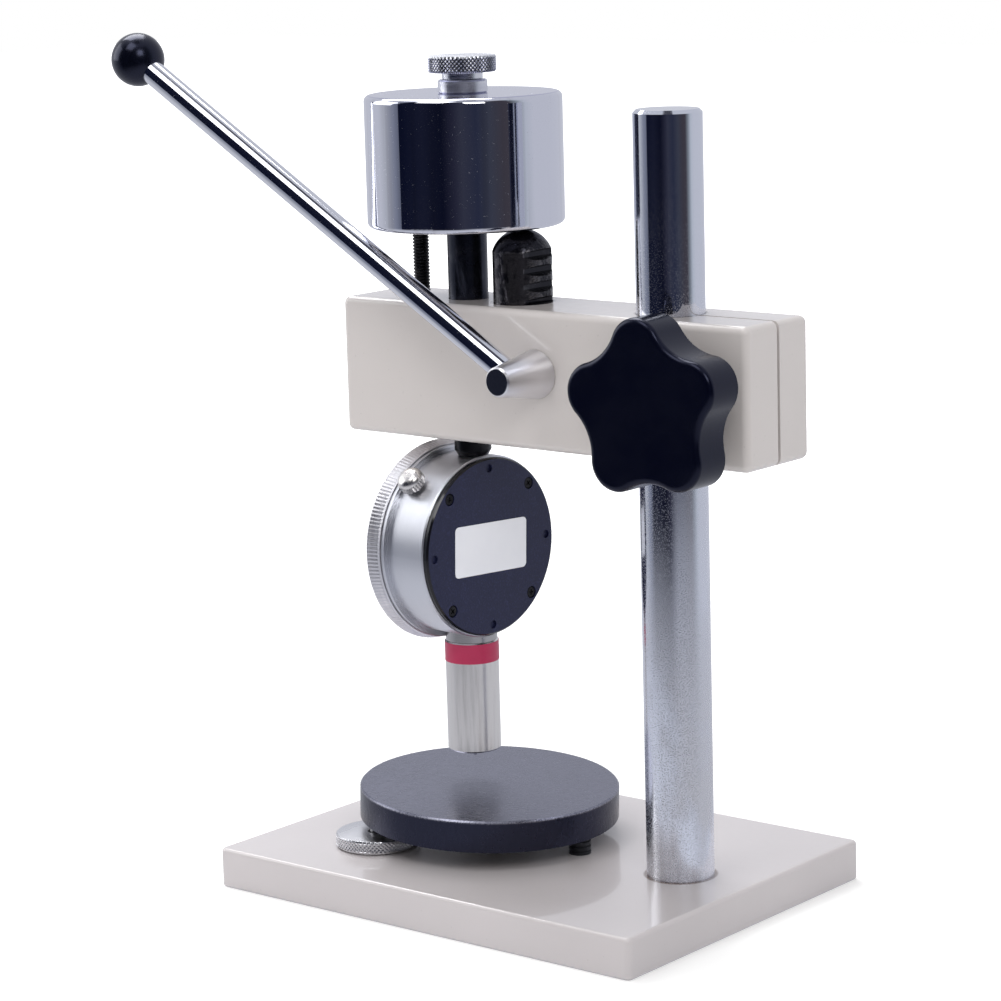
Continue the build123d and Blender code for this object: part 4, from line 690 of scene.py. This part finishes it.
def cover_screw(index):
    """A flat head with a cross recess, one of four in the back cover."""
    bolt_circle, first_angle, twist = 24.1 * MM, 45, (20, -35, 5, 50)[index]
    head, deep, bevel, crown_share = 1.7 * MM, 0.8 * MM, 0.15 * MM, 0.86
    arm, half, recess, recess_share = 0.95 * MM, 0.2 * MM, 0.5 * MM, 0.8
    spot = outward(math.radians(first_angle + 90 * index)) * bolt_circle
    spot.z = COVER_FACE + SCREW_SINK
    place = gauge_frame @ Matrix.Translation(spot) @ Matrix.Rotation(math.radians(twist), 4, "Z")
    circle = [outward(2 * math.pi * k / 36) * head for k in range(36)]
    cross = []
    for quarter in range(4):
        turn = Matrix.Rotation(quarter * math.pi / 2, 3, "Z")
        cross += [turn @ Vector((x, y, 0)) for x, y in ((half, half), (half, arm), (-half, arm))]
    mesh = bmesh.new()
    under = corners_of(mesh, flat_points(place, circle, deep))
    rim = corners_of(mesh, flat_points(place, circle, bevel))
    crown = corners_of(mesh, flat_points(place, [p * crown_share for p in circle], 0))
    recess_top = corners_of(mesh, flat_points(place, cross, 0))
    recess_floor = corners_of(mesh, flat_points(place, [p * recess_share for p in cross], recess))
    for lower, upper in ((under, rim), (rim, crown), (recess_top, recess_floor)):
        bridge(mesh, lower, upper)
    mesh.faces.new(recess_floor)
    mesh.faces.new(under)
    borders = [
        mesh.edges.get((ring[k], ring[(k + 1) % len(ring)]))
        for ring in (crown, recess_top) for k in range(len(ring))
    ]
    bmesh.ops.triangle_fill(mesh, edges=borders, use_beauty=True)
    bmesh.ops.recalc_face_normals(mesh, faces=mesh.faces)
    finished(
        f"cover_screw_{index + 1}", mesh, "cover_screw_steel", "head",
        ["cover_screws"] if index == 0 else (), sharp=0.5,
    )


def cover_label():
    """A blank paper label with round corners, on the back cover."""
    width, tall, corner, thick = 30.6 * MM, 15.5 * MM, 1.4 * MM, 0.12 * MM
    across, up, lean, corner_steps = 0.15 * MM, -0.2 * MM, 2.3, 6
    turn = Matrix.Rotation(math.radians(lean), 4, "Z")
    place = gauge_frame @ Matrix.Translation((across, up, COVER_FACE - thick)) @ turn
    outline = []
    for side_x, side_y, start in ((1, 1, 0), (-1, 1, 90), (-1, -1, 180), (1, -1, 270)):
        middle = Vector((side_x * (width / 2 - corner), side_y * (tall / 2 - corner), 0))
        for step in range(corner_steps + 1):
            outline.append(middle + outward(math.radians(start + 90 * step / corner_steps)) * corner)
    mesh = bmesh.new()
    slab(mesh, place, outline, 0, thick)
    bmesh.ops.recalc_face_normals(mesh, faces=mesh.faces)
    finished("cover_label", mesh, "label_paper", "head")


def dial_angle(value):
    """Where a value from 0 to 100 stands on the dial: the pointer's sweep, centred at the top."""
    low, high = joints["pointer_turn"]["range_deg"]
    return math.radians(90 + (high - low) * (0.5 - value / 100))


def dial_marks():
    """A plain scale from 0 to 100, with a longer mark at each five and each ten."""
    outer, ink_low, ink_high = 25.2 * MM, 0.02 * MM, 0.06 * MM
    place = gauge_frame @ Matrix.Translation((0, 0, DIAL_FACE))
    mesh = bmesh.new()
    for value in range(101):
        length, half = 1.4 * MM, 0.07 * MM
        if value % 5 == 0:
            length, half = 2.1 * MM, 0.11 * MM
        if value % 10 == 0:
            length, half = 2.8 * MM, 0.16 * MM
        along = outward(dial_angle(value))
        across = Vector((-along.y, along.x, 0)) * half
        far, near = along * outer, along * (outer - length)
        slab(mesh, place, [far - across, far + across, near + across, near - across], ink_low, ink_high)
    bmesh.ops.recalc_face_normals(mesh, faces=mesh.faces)
    finished("dial_marks", mesh, "dial_ink", "bezel")


def dial_numbers():
    """A number at each ten, upright, as solid letters a hair thick."""
    ring, size, half_thick, lift = 19.8 * MM, 4.0 * MM, 0.02 * MM, 0.04 * MM
    mesh = bmesh.new()
    for value in range(0, 101, 10):
        text = bpy.data.curves.new("number", "FONT")
        text.body = str(value)
        text.size = size
        text.align_x, text.align_y = "CENTER", "CENTER"
        text.extrude = half_thick
        holder = bpy.data.objects.new("number", text)
        bpy.context.scene.collection.objects.link(holder)
        bpy.context.view_layer.update()
        view = bpy.context.evaluated_depsgraph_get()
        flat = bpy.data.meshes.new_from_object(holder.evaluated_get(view))
        spot = outward(dial_angle(value)) * ring
        spot.z = DIAL_FACE + lift
        flat.transform(gauge_frame @ Matrix.Translation(spot))
        mesh.from_mesh(flat)
        bpy.data.objects.remove(holder)
        bpy.data.meshes.remove(flat)
    finished("dial_numbers", mesh, "dial_ink", "bezel")


def indenter_spring():
    """A coil of round wire; the real one shortens as the indenter rises, this one is built at one length."""
    low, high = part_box("indenter_spring")
    wire, turns, around, sides = 0.4 * MM, 7, 72, 10
    coil_radius = radius_of("indenter_spring") - wire
    axis_x, axis_y = (low.x + high.x) / 2, (low.y + high.y) / 2
    bottom, rise = low.z + wire, high.z - low.z - 2 * wire
    mesh = bmesh.new()
    rings = []
    for step in range(turns * around + 1):
        away = outward(2 * math.pi * step / around)
        middle = Vector((axis_x, axis_y, bottom + rise * step / (turns * around))) + away * coil_radius
        angles = [2 * math.pi * k / sides for k in range(sides)]
        rings.append(corners_of(
            mesh, [middle + (away * math.cos(b) + UP * math.sin(b)) * wire for b in angles],
        ))
    for lower, upper in zip(rings, rings[1:]):
        bridge(mesh, lower, upper)
    for end in (rings[0], rings[-1]):
        mesh.faces.new(end)
    bmesh.ops.recalc_face_normals(mesh, faces=mesh.faces)
    spring = finished("indenter_spring_wire", mesh, "spring_steel", "head", ["indenter_spring"])
    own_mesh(spring)


levelling_wheel("right")
levelling_wheel("left")
top_knob()
bezel()
bezel_screw()
guide_screw()
for number in range(4):
    cover_screw(number)
cover_label()
dial_marks()
dial_numbers()
indenter_spring()


# ------------------------------------------------------------------ camera
# place in metres, angles in degrees and focal length in mm, as fitted to the photograph
CAMERA_PLACE = Vector((0.75424, 0.60998, 0.30347))
AZIMUTH, ELEVATION, ROLL, LENS = 129.459, 10.768, -1.583, 118.82
a, e, roll = (math.radians(v) for v in (AZIMUTH, ELEVATION, ROLL))
back = Vector((math.sin(a) * math.cos(e), -math.cos(a) * math.cos(e), math.sin(e)))
right = UP.cross(back).normalized()
above = back.cross(right)
camera_x = right * math.cos(roll) + above * math.sin(roll)
camera_y = above * math.cos(roll) - right * math.sin(roll)
camera_data = bpy.data.cameras.new("camera")
camera_data.sensor_width = 36
camera_data.lens = LENS
camera_data.clip_start, camera_data.clip_end = 0.05, 30
camera = bpy.data.objects.new("camera", camera_data)
camera.matrix_world = axes(CAMERA_PLACE, camera_x, camera_y, back)
bpy.context.scene.collection.objects.link(camera)
bpy.context.scene.camera = camera
bpy.context.scene.view_settings.view_transform = "Standard"

# ------------------------------------------------------------------ studio
# What polished metal mirrors, round the room from the camera's direction: degrees to the
# right of it, and the colour there. Pale screens stand at the sides and behind; the room
# is dark round the camera, with a few dull grey things in it.
# DARK_GAP is what lies between the screens overhead, and SPREAD_LIGHT lights what is matt.
PALE = (0.63, 0.645, 0.71)
DARK_GAP = (0.07, 0.07, 0.09)
WHITE = (1, 1, 1, 1)
SPREAD_LIGHT = 0.62
ROOM = (
    (-116, PALE),
    (-104, (0.50, 0.52, 0.57)),
    (-90, (0.26, 0.28, 0.35)),
    (-85, (0.20, 0.22, 0.29)),
    (-80, (0.004, 0.006, 0.020)),
    (-50, (0.010, 0.012, 0.028)),
    (-26, (0.0043, 0.0056, 0.0166)),
    (-12, (0.021, 0.022, 0.042)),
    (-3, (0.037, 0.040, 0.064)),
    (14, (0.025, 0.030, 0.058)),
    (30, (0.049, 0.054, 0.078)),
    (46, (0.055, 0.050, 0.064)),
    (56, (0.062, 0.056, 0.070)),
    (66, (0.244, 0.275, 0.310)),
    (76, (0.56, 0.596, 0.66)),
    (88, PALE),
)
towards_camera = Vector((back.x, back.y, 0)).normalized()


class Shades:
    """Short ways to grow the node tree of the room or the floor."""

    def __init__(self, tree):
        self.tree = tree
        tree.nodes.clear()

    def node(self, kind, *inputs, **settings):
        made = self.tree.nodes.new(kind)
        for name, value in settings.items():
            setattr(made, name, value)
        for socket, value in zip(made.inputs, inputs):
            if isinstance(value, bpy.types.NodeSocket):
                self.tree.links.new(value, socket)
            elif value is not None:
                socket.default_value = value
        return made

    def math(self, operation, *values):
        return self.node("ShaderNodeMath", *values, operation=operation).outputs[0]

    def along(self, vector, direction):
        made = self.node("ShaderNodeVectorMath", vector, tuple(direction), operation="DOT_PRODUCT")
        return made.outputs["Value"]

    def ranged(self, value, low, high, to_low=0.0, to_high=1.0):
        made = self.node("ShaderNodeMapRange", value, low, high, to_low, to_high)
        made.interpolation_type = "SMOOTHSTEP"
        return made.outputs[0]

    def bearing(self, vector):
        """Angle of a direction or place round the room, in radians to the camera's right."""
        return self.math("ARCTAN2", self.along(vector, right), self.along(vector, towards_camera))

    def room(self, bearing):
        """The colour of the room at a bearing."""
        share = self.math("ADD", self.math("DIVIDE", bearing, 2 * math.pi), 0.5)
        made = self.node("ShaderNodeValToRGB", share)
        stops = made.color_ramp.elements
        for degrees, colour in ROOM:
            stops.new(degrees / 360 + 0.5).color = (*colour, 1)
        stops[0].color = stops[-1].color = (*PALE, 1)
        return made.outputs[0]

    def blend(self, share, first, second):
        made = self.node("ShaderNodeMix", data_type="RGBA")
        for socket, value in ((made.inputs[0], share), (made.inputs[6], first), (made.inputs[7], second)):
            if isinstance(value, bpy.types.NodeSocket):
                self.tree.links.new(value, socket)
            else:
                socket.default_value = value
        return made.outputs[2]

    def by_ray(self, seen, mirrored, spread):
        """Three shaders: for camera and transmission rays, for glossy rays, and for the rest."""
        ray = self.node("ShaderNodeLightPath").outputs
        either = self.math("MAXIMUM", ray["Is Camera Ray"], ray["Is Transmission Ray"])
        rest = self.node("ShaderNodeMixShader", ray["Is Glossy Ray"], spread, mirrored).outputs[0]
        return self.node("ShaderNodeMixShader", either, rest, seen).outputs[0]


def light_world():
    """White to the eye, the room in reflections, and a soft even light for the rest."""
    world = bpy.data.worlds.new("studio")
    bpy.context.scene.world = world
    world.use_nodes = True
    sky = Shades(world.node_tree)
    direction = sky.node("ShaderNodeTexCoord").outputs["Generated"]
    overhead = sky.ranged(sky.along(direction, UP), 0.74, 0.90)
    mirrored = sky.blend(overhead, sky.room(sky.bearing(direction)), (*PALE, 1))
    gap_centre = (UP + towards_camera * 0.12).normalized()
    gap = sky.ranged(sky.along(direction, gap_centre), 0.982, 0.992)
    mirrored = sky.blend(gap, mirrored, (*DARK_GAP, 1))
    backgrounds = [
        sky.node("ShaderNodeBackground", colour, strength).outputs[0]
        for colour, strength in ((WHITE, 1.0), (mirrored, 1.0), (WHITE, SPREAD_LIGHT))
    ]
    sky.node("ShaderNodeOutputWorld", sky.by_ray(*backgrounds))


def lay_floor(half):
    """White paper under the object, which holds its shadow and mirrors as the room does."""
    mesh = bpy.data.meshes.new("floor")
    corners = [(-half, -half, 0), (half, -half, 0), (half, half, 0), (-half, half, 0)]
    mesh.from_pydata(corners, [], [(0, 1, 2, 3)])
    floor = bpy.data.objects.new("floor", mesh)
    bpy.context.scene.collection.objects.link(floor)
    material = bpy.data.materials.new("floor")
    material.use_nodes = True
    mesh.materials.append(material)
    ground = Shades(material.node_tree)
    spot = ground.node("ShaderNodeTexCoord").outputs["Object"]
    away = ground.node("ShaderNodeVectorMath", spot, operation="LENGTH").outputs["Value"]
    bearing = ground.bearing(spot)
    # mirrored, the paper is pale by the object and fades into the room, later on the right
    on_right = ground.ranged(bearing, -0.25, 0.25)
    left_fade, right_fade = ground.ranged(away, 0.15, 0.65), ground.ranged(away, 0.15, 1.0)
    later = ground.math("MULTIPLY", on_right, ground.math("SUBTRACT", right_fade, left_fade))
    fade = ground.math("ADD", left_fade, later)
    mirrored = ground.blend(fade, (*PALE, 1), ground.room(bearing))
    # seen, it is white further out, and holds the shadow near the object
    paper = ground.node("ShaderNodeBsdfDiffuse", (0.80, 0.80, 0.80, 1)).outputs[0]
    lift = ground.ranged(away, 0.4, 1.2, 0.28, 1.1)
    lift = ground.node("ShaderNodeEmission", WHITE, lift).outputs[0]
    seen = ground.node("ShaderNodeAddShader", paper, lift).outputs[0]
    glow = ground.node("ShaderNodeEmission", mirrored, 1.0).outputs[0]
    ground.node("ShaderNodeOutputMaterial", ground.by_ray(seen, glow, paper))


light_world()
lay_floor(4.0)
SUBJECT = Vector((0, 0, 0.12))


def softbox(name, bearing, height, distance, size, power):
    """A square lamp that faces the subject, in degrees to the camera's right and above level."""
    b, h = math.radians(bearing), math.radians(height)
    level = towards_camera * math.cos(b) + right * math.sin(b)
    towards = level * math.cos(h) + UP * math.sin(h)
    lamp = bpy.data.lights.new(name, "AREA")
    lamp.shape = "SQUARE"
    lamp.size = size
    lamp.energy = power
    obj = bpy.data.objects.new(name, lamp)
    turn = towards.to_track_quat("Z", "Y").to_matrix().to_4x4()
    obj.matrix_world = Matrix.Translation(SUBJECT + towards * distance) @ turn
    bpy.context.scene.collection.objects.link(obj)


softbox("key_box", -50, 59, 1.7, 0.8, 5.5)
softbox("front_box", 14, 38, 1.6, 0.6, 5.0)
softbox("side_box", -108, 21, 1.6, 1.0, 5.2)
softbox("back_box", -160, 56, 1.6, 1.0, 17.0)
